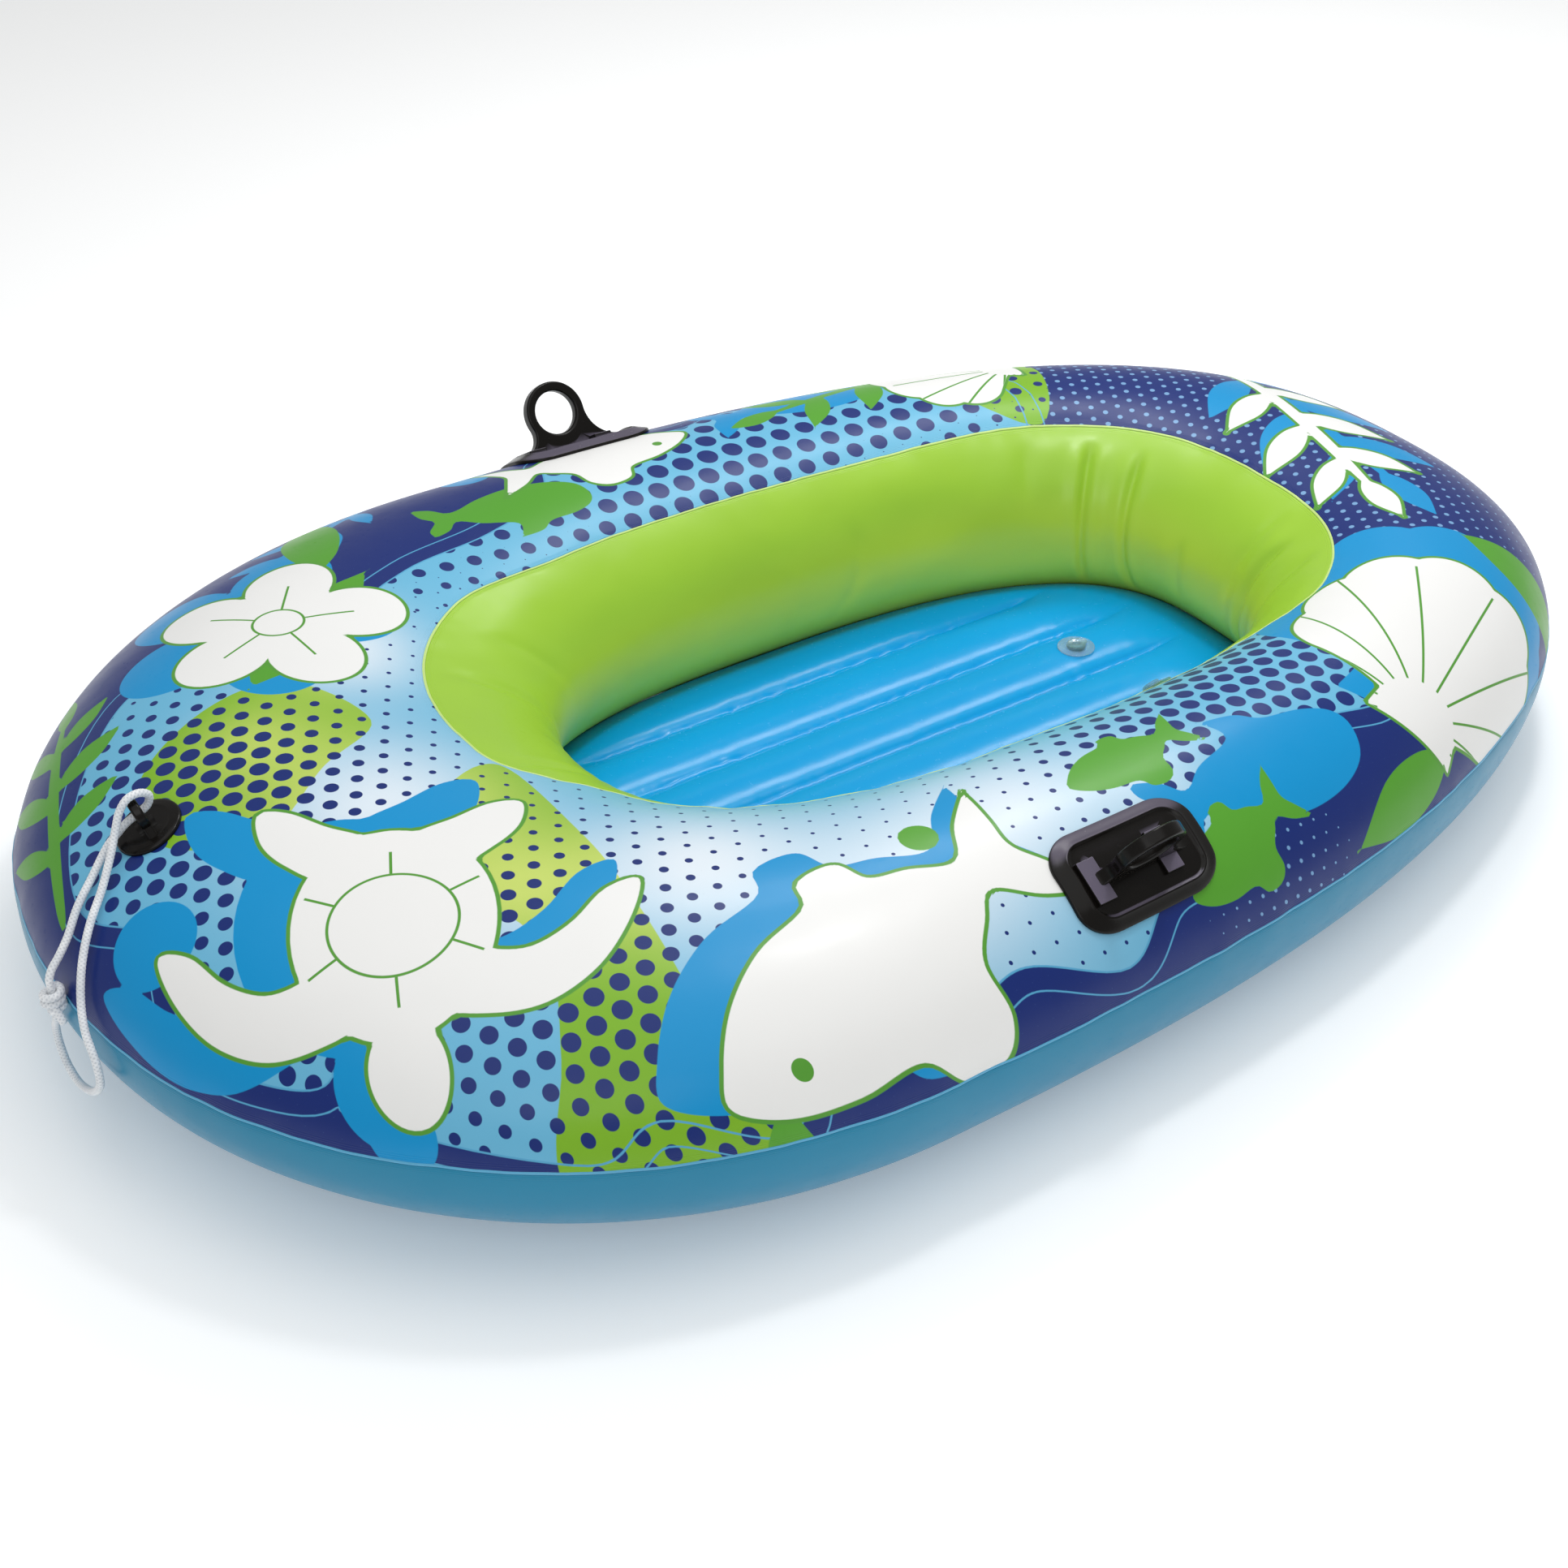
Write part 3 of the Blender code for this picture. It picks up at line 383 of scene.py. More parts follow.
def braidedTube(line):
    forward = np.gradient(line, axis=0)
    forward /= np.linalg.norm(forward, axis=1)[:, None]
    side = np.cross(forward[0], (0.3, 0.5, 0.8))
    side /= np.linalg.norm(side)
    sides = []
    for ahead in forward:
        side = side - ahead * (side @ ahead)
        side = side / np.linalg.norm(side)
        sides.append(side)
    sides = np.array(sides)
    ups = np.cross(forward, sides)
    angle = np.linspace(0, tau, rope["around"] + 1)
    twist = (np.arange(len(line)) * rope["step"])[:, None] * tau / rope["braidPitch"]
    strands, radius = rope["braidStrands"], rope["radius"]
    weave = np.maximum(np.sin(strands * (angle + twist)), np.sin(strands * (angle - twist)))
    reach = radius * (rope["braidLow"] + rope["braidRise"] * weave)
    ringed = (line[:, None] + reach[..., None] * (np.cos(angle)[None, :, None] * sides[:, None]
                                                  + np.sin(angle)[None, :, None] * ups[:, None]))
    caps = []
    for end, ahead, ring in ((line[0], -forward[0], ringed[0]), (line[-1], forward[-1], ringed[-1])):
        caps.append([end + (ring - end) * cos(k) + ahead * radius * rope["endRise"] * sin(k)
                     for k in rope["endAngles"]])
    capShade = np.ones((len(rope["endAngles"]), len(angle)))
    rows = np.concatenate([caps[0], ringed, caps[1][::-1]])
    # The strands' height, from which painted shade darkens the grooves between them
    shade = np.concatenate([capShade, np.clip(weave * 0.5 + 0.5, 0, 1), capShade])
    return laidGrid(rows[:, ::-1], {"strand": np.stack([shade] * 3, -1)[:, ::-1]})


def addCordPiece(name, mesh, node):
    bmesh.ops.recalc_face_normals(mesh, faces=mesh.faces)
    piece = addPiece(name, mesh, ropeFibre, node=node)
    # The strands' height becomes the painted shade of the rope's grooves
    pointAttribute(piece.data, "paintedGrooveShade", readVectors(piece.data, "strand")[:, 0])
    return piece


# The knot: a strand wound round a core, and the cut end that sticks out of it
def knotStrands():
    centre = np.array(rope["knot"])
    turned = np.linspace(0, tau * rope["knotTurns"], rope["knotSteps"])
    rise = np.linspace(-0.5, 0.5, rope["knotSteps"]) * rope["knotRise"]
    reach = rope["knotWrap"] * np.minimum(1, np.minimum(turned, turned[-1] - turned) * 1.2 + 0.35)
    angle = turned + rope["knotStart"]
    coil = centre + np.stack([reach * np.cos(angle), reach * np.sin(angle), rise], -1)
    half = rope["knotRise"] / 2 + rope["coreOverrun"]
    core = [centre + (0, 0, -half), centre, centre + (0, 0, half)]
    aside = np.array((0, sin(rope["tailTurn"]), cos(rope["tailTurn"])))
    tail = [centre, *(centre + aside * reach + bend for reach, bend in rope["tail"])]
    return coil, core, tail


def addRope():
    line, length = evenly(smoothRoute(ropeRoute, 40), rope["step"])
    cord = addCordPiece("bowRope", braidedTube(line), "bow_rope")
    knot = bmesh.new()
    for part in knotStrands():
        spare = meshData("strand", braidedTube(evenly(smoothRoute(part, 12), rope["step"])[0]))
        knot.from_mesh(spare)
        bpy.data.meshes.remove(spare)
    knotPiece = addCordPiece("bowRopeKnot", knot, "bow_rope_knot")
    print(f"rope {length:.3f} m")


addRope()

# Hull, in the CAD's own measures: an air tube between two ovals, whose section leans from outside over the top
hull = {
    "length": 1.37, "beam": 0.88, "widestAhead": 0.221, "bowPower": 2.05, "sternPower": 2.43,
    "bowHeight": 0.233, "sternHeight": 0.192, "groundPress": 0.002,
    "outerSeam": radians(6.5), "rimSeam": radians(120.5), "floorEdge": radians(217), "footSeam": radians(232),
    "film": 0.0004, "gap": 0.0003, "lap": 0.008, "stations": 800, "arcPlaces": 40001, "spareDepth": 0.0006,
}
well = {"fore": 0.238, "aft": 0.394, "beam": 0.336, "widestAstern": 0.048, "bowPower": 2.62, "sternPower": 3.01}


def planOval(turn, waist, fore, aft, halfWidth, forePower, aftPower):
    ahead = np.cos(turn) >= 0
    reach, power = np.where(ahead, fore, aft), np.where(ahead, forePower, aftPower)
    x = waist + np.copysign(reach * np.abs(np.cos(turn)) ** (2 / power), np.cos(turn))
    y = np.copysign(halfWidth * np.abs(np.sin(turn)) ** (2 / power), np.sin(turn))
    return np.stack([x, y, np.zeros_like(x)], -1)


def tubeMiddle(turn):
    outer = planOval(turn, hull["widestAhead"], hull["length"] / 2 - hull["widestAhead"],
                     hull["length"] / 2 + hull["widestAhead"], hull["beam"] / 2, hull["bowPower"], hull["sternPower"])
    inner = planOval(turn, -well["widestAstern"], well["fore"] + well["widestAstern"],
                     well["aft"] - well["widestAstern"], well["beam"] / 2, well["bowPower"], well["sternPower"])
    return (outer + inner) / 2, (outer - inner) / 2


def tubePoint(turn, lean):
    turn, lean = np.broadcast_arrays(turn, lean)
    middle, half = tubeMiddle(turn)
    share = (middle[..., 0] + hull["length"] / 2) / hull["length"]
    height = hull["sternHeight"] + (hull["bowHeight"] - hull["sternHeight"]) * share + hull["groundPress"]
    place = middle + half * np.cos(lean)[..., None]
    place[..., 2] = height * (1 + np.sin(lean)) / 2 - hull["groundPress"]
    return place


def tubeAxes(turn, lean):
    probe = radians(0.06)
    along = (tubePoint(turn + probe, lean) - tubePoint(turn - probe, lean)) / (2 * probe)
    around = (tubePoint(turn, lean + probe) - tubePoint(turn, lean - probe)) / (2 * probe)
    out = np.cross(along, around)
    return along, around, out / np.linalg.norm(out, axis=-1, keepdims=True)


def skin(turn, lean, proud=0.0, ground=0.0):
    place = tubePoint(turn, lean) + tubeAxes(turn, lean)[2] * np.asarray(proud)[..., None]
    place[..., 2] = np.maximum(place[..., 2], ground)
    return place


def arcTable(lean):
    turns = np.linspace(0, tau, hull["arcPlaces"])
    steps = np.linalg.norm(np.diff(tubePoint(turns, lean), axis=0), axis=1)
    return turns, np.concatenate([[0], np.cumsum(steps)])


def eased(value, low, high):
    share = np.clip((value - low) / (high - low), 0, 1)
    return share * share * (3 - 2 * share)


# The rim seam lies lower on the cockpit side amidships, and lowest to port: extra lean, where it comes and goes
rimDrops = ((17, 2, 26, 110, 140), (6, 225, 258, 288, 312))
fineTurns, crownArc = arcTable(pi / 2)
wallArc = arcTable(pi)[1]
roundShare = np.linspace(0, 1, hull["stations"] + 1)
stationTurns = np.interp(roundShare * crownArc[-1], crownArc, fineTurns)
seams = ("outerSeam", "rimSeam", "floorEdge", "footSeam")
seamLean = {seam: np.full_like(stationTurns, hull[seam]) for seam in seams}
for extra, *marks in rimDrops:
    riseStart, riseEnd, fallStart, fallEnd = np.radians(marks)
    seamLean["rimSeam"] += radians(extra) * np.minimum(eased(stationTurns, riseStart, riseEnd),
                                                       1 - eased(stationTurns, fallStart, fallEnd))
roundLength = {seam: np.linalg.norm(tubeAxes(stationTurns, lean)[1], axis=-1) for seam, lean in seamLean.items()}

# How the film gives: puckers that fade away from a seam, and creases and slack in the cockpit wall
puckers = {"outerSeam": {"deep": 0.0011, "reach": 0.026, "seed": 11},
           "rimSeam": {"deep": 0.0006, "reach": 0.018, "seed": 29}}
puckerWaves = ((0.8, 64, 1.0), (0.6, 148, 1.8), (0.3, 300, 3.5))  # share of the depth, waves round, fading
slackWall = {"deep": 0.0014, "from": (124, 140), "until": 200, "slant": 0.03, "folds": 7.5, "shift": 0.3,
             "roll": (26, 5, 0.6), "wander": (9, 8, 2.5), "patches": (17, 9, 0.55)}  # waves, seed and share
creaseForm = {"slantEach": 30, "fadeIn": 14, "fadeOut": 22, "lipHigh": 0.28, "lipPlace": 2.4, "lipWide": 1.5}
# Each crease: its place round the boat, depth, half width, first and last lean, and how far it slants
wallCreases = (
    (212.9, 0.0040, 0.0036, 127, 216, -0.8), (199.8, 0.0036, 0.0034, 129, 216, -1.5),
    (183, 0.0014, 0.0060, 160, 206, 0.5), (166, 0.0040, 0.0046, 132, 214, 1.5),
    (173, 0.0016, 0.0055, 124, 190, 0.8), (152, 0.0022, 0.0055, 124, 190, -1.0), (138, 0.0016, 0.0060, 150, 210, 1.0),
    (229, 0.0010, 0.0070, 124, 165, 1.0), (262, 0.0009, 0.0080, 150, 208, 2.0),
    (318, 0.0012, 0.0060, 128, 175, -1.0), (339, 0.0018, 0.0050, 122, 180, 1.0),
    (352, 0.0016, 0.0050, 150, 206, -1.0), (9, 0.0020, 0.0050, 122, 185, 1.0),
    (24, 0.0014, 0.0055, 140, 206, -1.0), (48, 0.0010, 0.0070, 124, 170, 1.0), (78, 0.0009, 0.0080, 150, 206, 1.5),
)


# A smooth random curve with this many knots round the boat
def ripple(share, knots, seed):
    values = np.random.RandomState(seed).uniform(-1, 1, knots)
    spot = (share % 1) * knots
    low = np.floor(spot).astype(int)
    rest = spot - low
    rest = rest * rest * (3 - 2 * rest)
    return values[low % knots] * (1 - rest) + values[(low + 1) % knots] * rest


def rolled(share, look):
    waves, seed, part = slackWall[look]
    return ripple(share, waves, seed) * part


def relief(lean):
    share = roundShare[None, :]
    total = np.zeros_like(lean)
    for seam, fold in puckers.items():
        off = np.abs(lean - seamLean[seam])
        off = np.minimum(off, np.abs(lean - seamLean[seam] - tau)) * roundLength[seam] / fold["reach"]
        total += fold["deep"] * sum(part * ripple(share, waves, fold["seed"] + k) * np.exp(-off * fading)
                                    for k, (part, waves, fading) in enumerate(puckerWaves))
    inWall = (eased(lean, *np.radians(slackWall["from"]))
              * (1 - eased(lean, radians(slackWall["until"]), hull["floorEdge"])))
    folds = np.sin(lean * slackWall["folds"] + rolled(share, "wander")) * rolled(share + slackWall["shift"], "patches")
    total += slackWall["deep"] * inWall * (rolled(share + lean * slackWall["slant"], "roll") + folds)
    wallPlace, wallLength = np.interp(stationTurns, fineTurns, wallArc)[None, :], wallArc[-1]
    for turn, deep, wide, first, last, slant in wallCreases:
        slanted = turn + slant * np.degrees(lean - pi) / creaseForm["slantEach"]
        centre = np.interp(np.radians(slanted) % tau, fineTurns, wallArc)
        off = np.abs((wallPlace - centre + wallLength / 2) % wallLength - wallLength / 2) / wide
        shown = (eased(np.degrees(lean), first, first + creaseForm["fadeIn"])
                 * (1 - eased(np.degrees(lean), last - creaseForm["fadeOut"], last)))
        lip = creaseForm["lipHigh"] * np.exp(-((off - creaseForm["lipPlace"]) / creaseForm["lipWide"]) ** 2)
        total += deep * shown * (lip - np.exp(-off ** 2))
    return total


# Places on the printed sheet before it was blown up: the tube's crown line, and the way out from it
def flatSheet(lean, steps=24):
    middle, half = tubeMiddle(stationTurns)
    out = half / np.linalg.norm(half, axis=-1, keepdims=True)
    walked = np.zeros_like(lean)
    last = tubePoint(stationTurns[None, :], np.full_like(lean, pi / 2))
    for k in range(1, steps + 1):
        here = tubePoint(stationTurns[None, :], pi / 2 + (lean - pi / 2) * k / steps)
        walked += np.linalg.norm(here - last, axis=-1)
        last = here
    return middle[None] + out[None] * (walked * np.sign(pi / 2 - lean))[..., None]


# A hull film: rows of its outer face and, fewer, of its inner face, closed round its two edges
def hullFilm(name, lean, proud, innerRows, material, slotName, node, edges):
    outer = proud + relief(lean)
    spare = np.full(len(innerRows), hull["spareDepth"])
    spare[[0, 1, -2, -1]] = 0
    inner = outer[innerRows] - hull["film"] - spare[:, None]
    outerPlaces = skin(stationTurns[None, :], lean, outer)
    innerPlaces = skin(stationTurns[None, :], lean[innerRows], inner, hull["film"])
    flat = flatSheet(lean)
    flat[..., 2] = np.min([np.abs(lean - seamLean[seam] - whole) * roundLength[seam] for seam, whole in edges], axis=0)
    places, flat = (np.concatenate([face, back[::-1], face[:1]])
                    for face, back in ((outerPlaces, innerPlaces), (flat, flat[innerRows])))
    piece = addPiece(name, laidGrid(places, {"flat": flat}), material, node=node)
    pointAttribute(piece.data, "seamDistance", readVectors(piece.data, "flat")[:, 2])
    print(name, len(piece.data.polygons) * 2, "triangles")
    return piece


def leanStep(seam, distance):
    return (distance / roundLength[seam])[None, :]


def rowsBetween(low, high, count, ends):
    share = np.linspace(0, 1, count)
    share = share - ends * np.sin(tau * share) / tau
    return low + (high - low) * share[:, None]


tucked = -(hull["film"] + hull["gap"])
joggle = (0.66, 0.2)  # how far a lap still lies under, in the rows where it comes up
outerSeam, rimSeam, floorEdge, footSeam = (seamLean[seam][None, :] for seam in seams)

deckLean = rowsBetween(outerSeam, rimSeam, 88, 0.35)
deck = hullFilm("printedDeck", deckLean, np.zeros_like(deckLean), [0, 1, 4, 9, 16, 26, 38, 50, 62, 71, 78, 83, 86, 87],
                limeFilm, "printed_vinyl", "hull_deck_sheet", (("outerSeam", 0), ("rimSeam", 0)))


# Rows by their distance from a seam in mm, with a lap under the next film at the upper or at both edges
def wallRows():
    step, lap = leanStep("rimSeam", 0.001), hull["lap"] * 1000
    lean = np.concatenate([*(rimSeam + step * k for k in (-lap, -lap / 2, 0, 1, 1.5, 2.0, 2.5)),
                           rowsBetween(rimSeam + step * 3.2, floorEdge, 44, 0.3),
                           footSeam - leanStep("footSeam", hull["lap"]), footSeam])
    proud = np.zeros_like(lean)
    proud[:6] = tucked * np.array((1, 1, 1, 1, *joggle))[:, None]
    return lean, proud


def bottomRows():
    foot, seam, lap = leanStep("footSeam", 0.001), leanStep("outerSeam", 0.001), hull["lap"] * 1000
    top = outerSeam + tau
    lean = np.concatenate([*(footSeam + foot * k for k in (-lap, 0, 1)),
                           rowsBetween(footSeam + foot * 2.5, top - seam * 2.5, 46, 0.3),
                           *(top + seam * k for k in (-2.0, -1.5, -1, 0, lap / 2, lap))])
    proud = np.zeros_like(lean)
    proud[:3] = tucked
    proud[-6:] = tucked * np.array((*joggle[::-1], 1, 1, 1, 1))[:, None]
    return lean, proud


wall = hullFilm("cockpitWall", *wallRows(), [0, 1, 2, 3, 5, 7, 9, 12, 16, 21, 27, 33, 39, 44, 48, 50, 51, 52],
                limeFilm, "lime_vinyl", "cockpit_wall", (("rimSeam", 0), ("footSeam", 0)))
# Painted light: the wall's colour grows lighter from the upper to the lower of these heights, down to its foot
wallPaintedLightHeights = (0.060, 0.160)  # the heights between which the wall's tone changes
wallHeight = np.array([vert.co.z for vert in wall.data.vertices])
pointAttribute(wall.data, "wallPaintedLight", 1 - eased(wallHeight, *wallPaintedLightHeights))
hullFilm("hullBottom", *bottomRows(), [0, 2, 4, 8, 13, 19, 25, 31, 37, 42, 46, 48, 50, 51, 52, 53, 54],
         sideFilm, "pale_blue_vinyl", "hull_bottom_sheet", (("footSeam", 0), ("outerSeam", tau)))
print("hull films laid")

# The print: soft-edged fields, bands and sea motifs, each as the distance to its outline on the flat sheet
motifShapes = {
    "fish": [(0.50, 0.01), (0.42, 0.10), (0.28, 0.165), (0.12, 0.20), (0.07, 0.28), (-0.04, 0.30), (-0.12, 0.25),
             (-0.15, 0.15), (-0.23, 0.09), (-0.30, 0.05), (-0.39, 0.13), (-0.52, 0.20), (-0.52, 0.20), (-0.46, 0.08),
             (-0.43, 0.0), (-0.46, -0.08), (-0.51, -0.19), (-0.51, -0.19), (-0.39, -0.12), (-0.30, -0.045),
             (-0.20, -0.10), (-0.12, -0.14), (-0.10, -0.22), (0.0, -0.235), (0.05, -0.175), (0.20, -0.165),
             (0.34, -0.12), (0.45, -0.05)],
    "frontFlipper": [(0.24, 0.10), (0.28, 0.20), (0.27, 0.33), (0.19, 0.45), (0.06, 0.53), (-0.07, 0.56),
                     (-0.04, 0.48), (0.06, 0.40), (0.12, 0.31), (0.12, 0.23), (0.09, 0.15)],
    "rearFlipper": [(-0.17, 0.15), (-0.23, 0.24), (-0.32, 0.30), (-0.43, 0.31), (-0.42, 0.24), (-0.35, 0.15),
                    (-0.27, 0.04)],
    "leaf": [(0.0, 0.0), (0.0, 0.0), (0.25, 0.14), (0.6, 0.17), (1.0, 0.0), (1.0, 0.0), (0.6, -0.15), (0.25, -0.13)],
    "whale": [(0.50, 0.03), (0.44, 0.15), (0.28, 0.22), (0.06, 0.23), (-0.14, 0.17), (-0.28, 0.09), (-0.36, 0.08),
              (-0.43, 0.16), (-0.53, 0.21), (-0.53, 0.21), (-0.51, 0.08), (-0.45, 0.0), (-0.51, -0.10),
              (-0.50, -0.17), (-0.50, -0.17), (-0.40, -0.12), (-0.33, -0.04), (-0.20, -0.10), (0.0, -0.15),
              (-0.02, -0.27), (-0.02, -0.27), (0.12, -0.23), (0.20, -0.16), (0.36, -0.12), (0.47, -0.06)],
}


def smoothLoop(points, steps=6):
    points = np.array(points, float)
    before, after, beyond = (np.roll(points, shift, axis=0) for shift in (1, -1, -2))
    loop = []
    for k in range(steps):
        t = k / steps
        loop.append(0.5 * (2 * points + (after - before) * t + (2 * before - 5 * points + 4 * after - beyond) * t ** 2
                           + (3 * points - before - 3 * after + beyond) * t ** 3))
    loop = np.stack(loop, 1).reshape(-1, 2)
    keep = np.linalg.norm(loop - np.roll(loop, 1, axis=0), axis=1) > 1e-6
    return loop[keep]


def circled(angle):
    return np.stack([np.cos(angle), np.sin(angle)], -1)


def roundOutline(reachAt, count):
    angle = np.linspace(0, tau, count, endpoint=False)
    return circled(angle) * reachAt(angle)[:, None]


def ellipseOutline(centre, wide, high):
    return roundOutline(np.ones_like, 48) * (wide, high) + centre


def shellOutline():
    angle = np.radians(np.linspace(-32, 212, 120))
    scallop = np.abs(np.sin((angle + radians(32)) * 7 * 180 / 244)) ** 0.8
    fan = circled(angle) * (0.455 + 0.035 * scallop)[:, None]
    return np.concatenate([fan, [(-0.16, -0.36), (-0.19, -0.46), (0.19, -0.46), (0.16, -0.36)]])


def turnedBy(degrees):
    angle = radians(degrees)
    return np.array([[cos(angle), sin(angle)], [-sin(angle), cos(angle)]])


sprigStem = ((-0.5, 0.015), (0.1, 0.03), (0.5, 0.0), (0.1, -0.01), (-0.5, -0.02))
sprigLeaves = ((-0.3, 55, 0.26), (-0.24, -52, 0.28), (-0.08, 48, 0.30), (0.0, -50, 0.29), (0.16, 42, 0.27),
               (0.22, -42, 0.25), (0.36, 0, 0.24))  # place on the stem, turn and size


def motif(kind):
    if kind == "shell":
        return [shellOutline()]
    if kind == "turtle":
        fins = [smoothLoop(motifShapes[fin]) for fin in ("frontFlipper", "rearFlipper")]
        return [ellipseOutline((0, 0), 0.31, 0.235), ellipseOutline((0.38, 0), 0.12, 0.092),
                *fins, *(fin[::-1] * (1, -1) for fin in fins)]
    if kind == "flower":
        return [roundOutline(lambda angle: 0.26 + 0.24 * np.abs(np.cos(angle * 2.5)) ** 0.75, 150)]
    if kind == "ring":
        return [ellipseOutline((0, 0), 0.5, 0.5)]
    if kind == "sprig":
        leaf = smoothLoop(motifShapes["leaf"])
        leaves = (leaf @ turnedBy(turn) * size + (place, 0) for place, turn, size in sprigLeaves)
        return [smoothLoop(sprigStem), *leaves]
    return [smoothLoop(motifShapes[kind])]


farAway = 0.04  # distances past this one aren't worked out


# The distance of places to a closed outline, less than nothing inside it
def outlineDistance(places, outline):
    result = np.full(len(places), farAway)
    low, high = outline.min(0) - farAway, outline.max(0) + farAway
    close = np.flatnonzero(((places > low) & (places < high)).all(1))
    spots = places[close]
    near, inside = np.full(len(spots), farAway), np.zeros(len(spots), bool)
    for a, b in zip(outline, np.roll(outline, -1, axis=0)):
        ab, toSpot = b - a, spots - a
        share = np.clip(toSpot @ ab / max(ab @ ab, 1e-12), 0, 1)
        near = np.minimum(near, np.hypot(toSpot[:, 0] - share * ab[0], toSpot[:, 1] - share * ab[1]))
        crosses = (a[1] > spots[:, 1]) != (b[1] > spots[:, 1])
        if crosses.any():
            inside ^= crosses & (spots[:, 0] < a[0] + (spots[:, 1] - a[1]) * ab[0] / (ab[1] if ab[1] else 1e-12))
    result[close] = np.where(inside, -near, near)
    return result


# Motifs by the tone they are printed in: kind, centre on the sheet, size, turn, and whether they are flipped
motifs = {
    "white": (
        ("turtle", 0.503, 0.172, 0.305, 62, 0), ("fish", 0.235, 0.372, 0.330, 14, 0),
        ("shell", -0.385, 0.300, 0.250, 128, 0), ("flower", 0.395, -0.215, 0.205, 20, 0),
        ("fish", 0.035, -0.330, 0.190, 176, 1), ("sprig", -0.545, -0.030, 0.300, 74, 0),
        ("shell", -0.340, -0.300, 0.150, 250, 0)),
    "blue": (
        ("turtle", 0.528, 0.150, 0.340, 66, 0), ("fish", 0.255, 0.352, 0.360, 11, 0),
        ("shell", -0.400, 0.275, 0.305, 126, 0), ("flower", 0.412, -0.232, 0.240, 8, 0),
        ("sprig", -0.560, -0.055, 0.360, 80, 0), ("whale", -0.190, -0.335, 0.200, 182, 1),
        ("whale", -0.130, 0.352, 0.210, 186, 1), ("ring", 0.640, 0.060, 0.070, 0, 0),
        ("ring", 0.590, 0.300, 0.050, 0, 0), ("ring", 0.140, -0.370, 0.045, 0, 0),
        ("sprig", 0.300, -0.350, 0.200, 30, 0)),
    "green": (
        ("fish", -0.045, 0.300, 0.130, 8, 0), ("fish", -0.075, 0.402, 0.140, 20, 0),
        ("sprig", 0.622, -0.160, 0.260, 245, 0), ("leaf", 0.455, -0.140, 0.190, 215, 0),
        ("leaf", 0.330, -0.270, 0.150, 250, 0), ("sprig", -0.250, -0.330, 0.260, 10, 0),
        ("leaf", -0.520, 0.190, 0.170, 120, 0), ("leaf", -0.330, 0.390, 0.150, 20, 0),
        ("ring", 0.150, 0.300, 0.030, 0, 0), ("whale", 0.145, -0.280, 0.150, 170, 0),
        ("leaf", 0.360, 0.425, 0.150, 60, 0)),
}
# Fields that run on under the motifs, as loops of a few points
fields = {
    "pale": (
        [(0.62, -0.12), (0.665, -0.02), (0.635, 0.06), (0.66, 0.14), (0.60, 0.22), (0.585, 0.30), (0.50, 0.39),
         (0.44, 0.395), (0.37, 0.445), (0.30, 0.400), (0.22, 0.432), (0.15, 0.420), (0.07, 0.448), (0.01, 0.415),
         (-0.05, 0.408), (-0.10, 0.375), (-0.17, 0.372), (-0.21, 0.335), (-0.28, 0.335), (-0.31, 0.285),
         (-0.37, 0.262), (-0.33, 0.17), (0.0, 0.0), (0.30, -0.10), (0.36, -0.20), (0.46, -0.18), (0.53, -0.21)],
        [(0.36, -0.08), (0.335, -0.19), (0.27, -0.235), (0.18, -0.255), (0.11, -0.285), (0.07, -0.35),
         (0.01, -0.37), (-0.06, -0.335), (-0.12, -0.352), (-0.19, -0.31), (-0.27, -0.30), (-0.36, -0.22),
         (-0.2, 0.0), (0.1, 0.0)],
        [(0.60, 0.24), (0.645, 0.20), (0.665, 0.13), (0.60, 0.10), (0.56, 0.16)]),
    "lime": (
        [(0.34, 0.04), (0.415, 0.075), (0.452, 0.15), (0.432, 0.25), (0.470, 0.33), (0.53, 0.40), (0.46, 0.46),
         (0.38, 0.50), (0.375, 0.38), (0.36, 0.27), (0.345, 0.16)],
        [(0.43, -0.13), (0.50, -0.135), (0.575, -0.09), (0.590, -0.01), (0.53, 0.035), (0.46, -0.01),
         (0.40, -0.05)],
        [(-0.36, -0.18), (-0.42, -0.28), (-0.36, -0.36), (-0.28, -0.38), (-0.30, -0.28)]),
}
# Spots that make the fields paler or the dots larger: centre on the sheet, reach and strength
spots = {
    "pale": ((0.45, 0.06, 0.09, 0.95), (0.30, 0.24, 0.08, 0.95), (0.17, 0.33, 0.09, 0.8), (0.06, 0.30, 0.07, 0.7),
             (0.37, -0.15, 0.06, 0.9), (-0.04, 0.33, 0.06, 0.5), (0.49, -0.07, 0.05, 0.5), (0.42, 0.20, 0.06, 0.6)),
    "large": ((0.56, -0.04, 0.13, 0.0080), (0.45, 0.26, 0.13, 0.0050), (0.38, 0.42, 0.12, 0.0042),
              (0.62, 0.20, 0.10, 0.0046), (-0.22, 0.27, 0.15, 0.0078), (-0.36, 0.20, 0.10, 0.0070),
              (-0.05, 0.29, 0.07, 0.0032)),
    "far": ((-0.02, -0.28, 0.22, 0.0098), (0.26, -0.22, 0.12, 0.0044), (-0.30, -0.25, 0.13, 0.0070)),
    "night": ((-0.50, -0.02, 0.17, 0.0025), (-0.46, 0.16, 0.12, 0.0023), (-0.42, -0.20, 0.13, 0.0024),
              (-0.20, -0.33, 0.12, 0.0022), (-0.10, 0.44, 0.08, 0.0018)),
}
dots = {"nightPitch": 0.0142, "largePitch": 0.0208, "farPitch": 0.0262, "largeLeast": 0.0014, "nightLeast": 0.0006,
        "largeMost": 0.0077, "farMost": 0.0096, "nightMost": 0.0024, "largeFrom": (-0.26, -0.16),
        "farUntil": (-0.24, -0.14)}


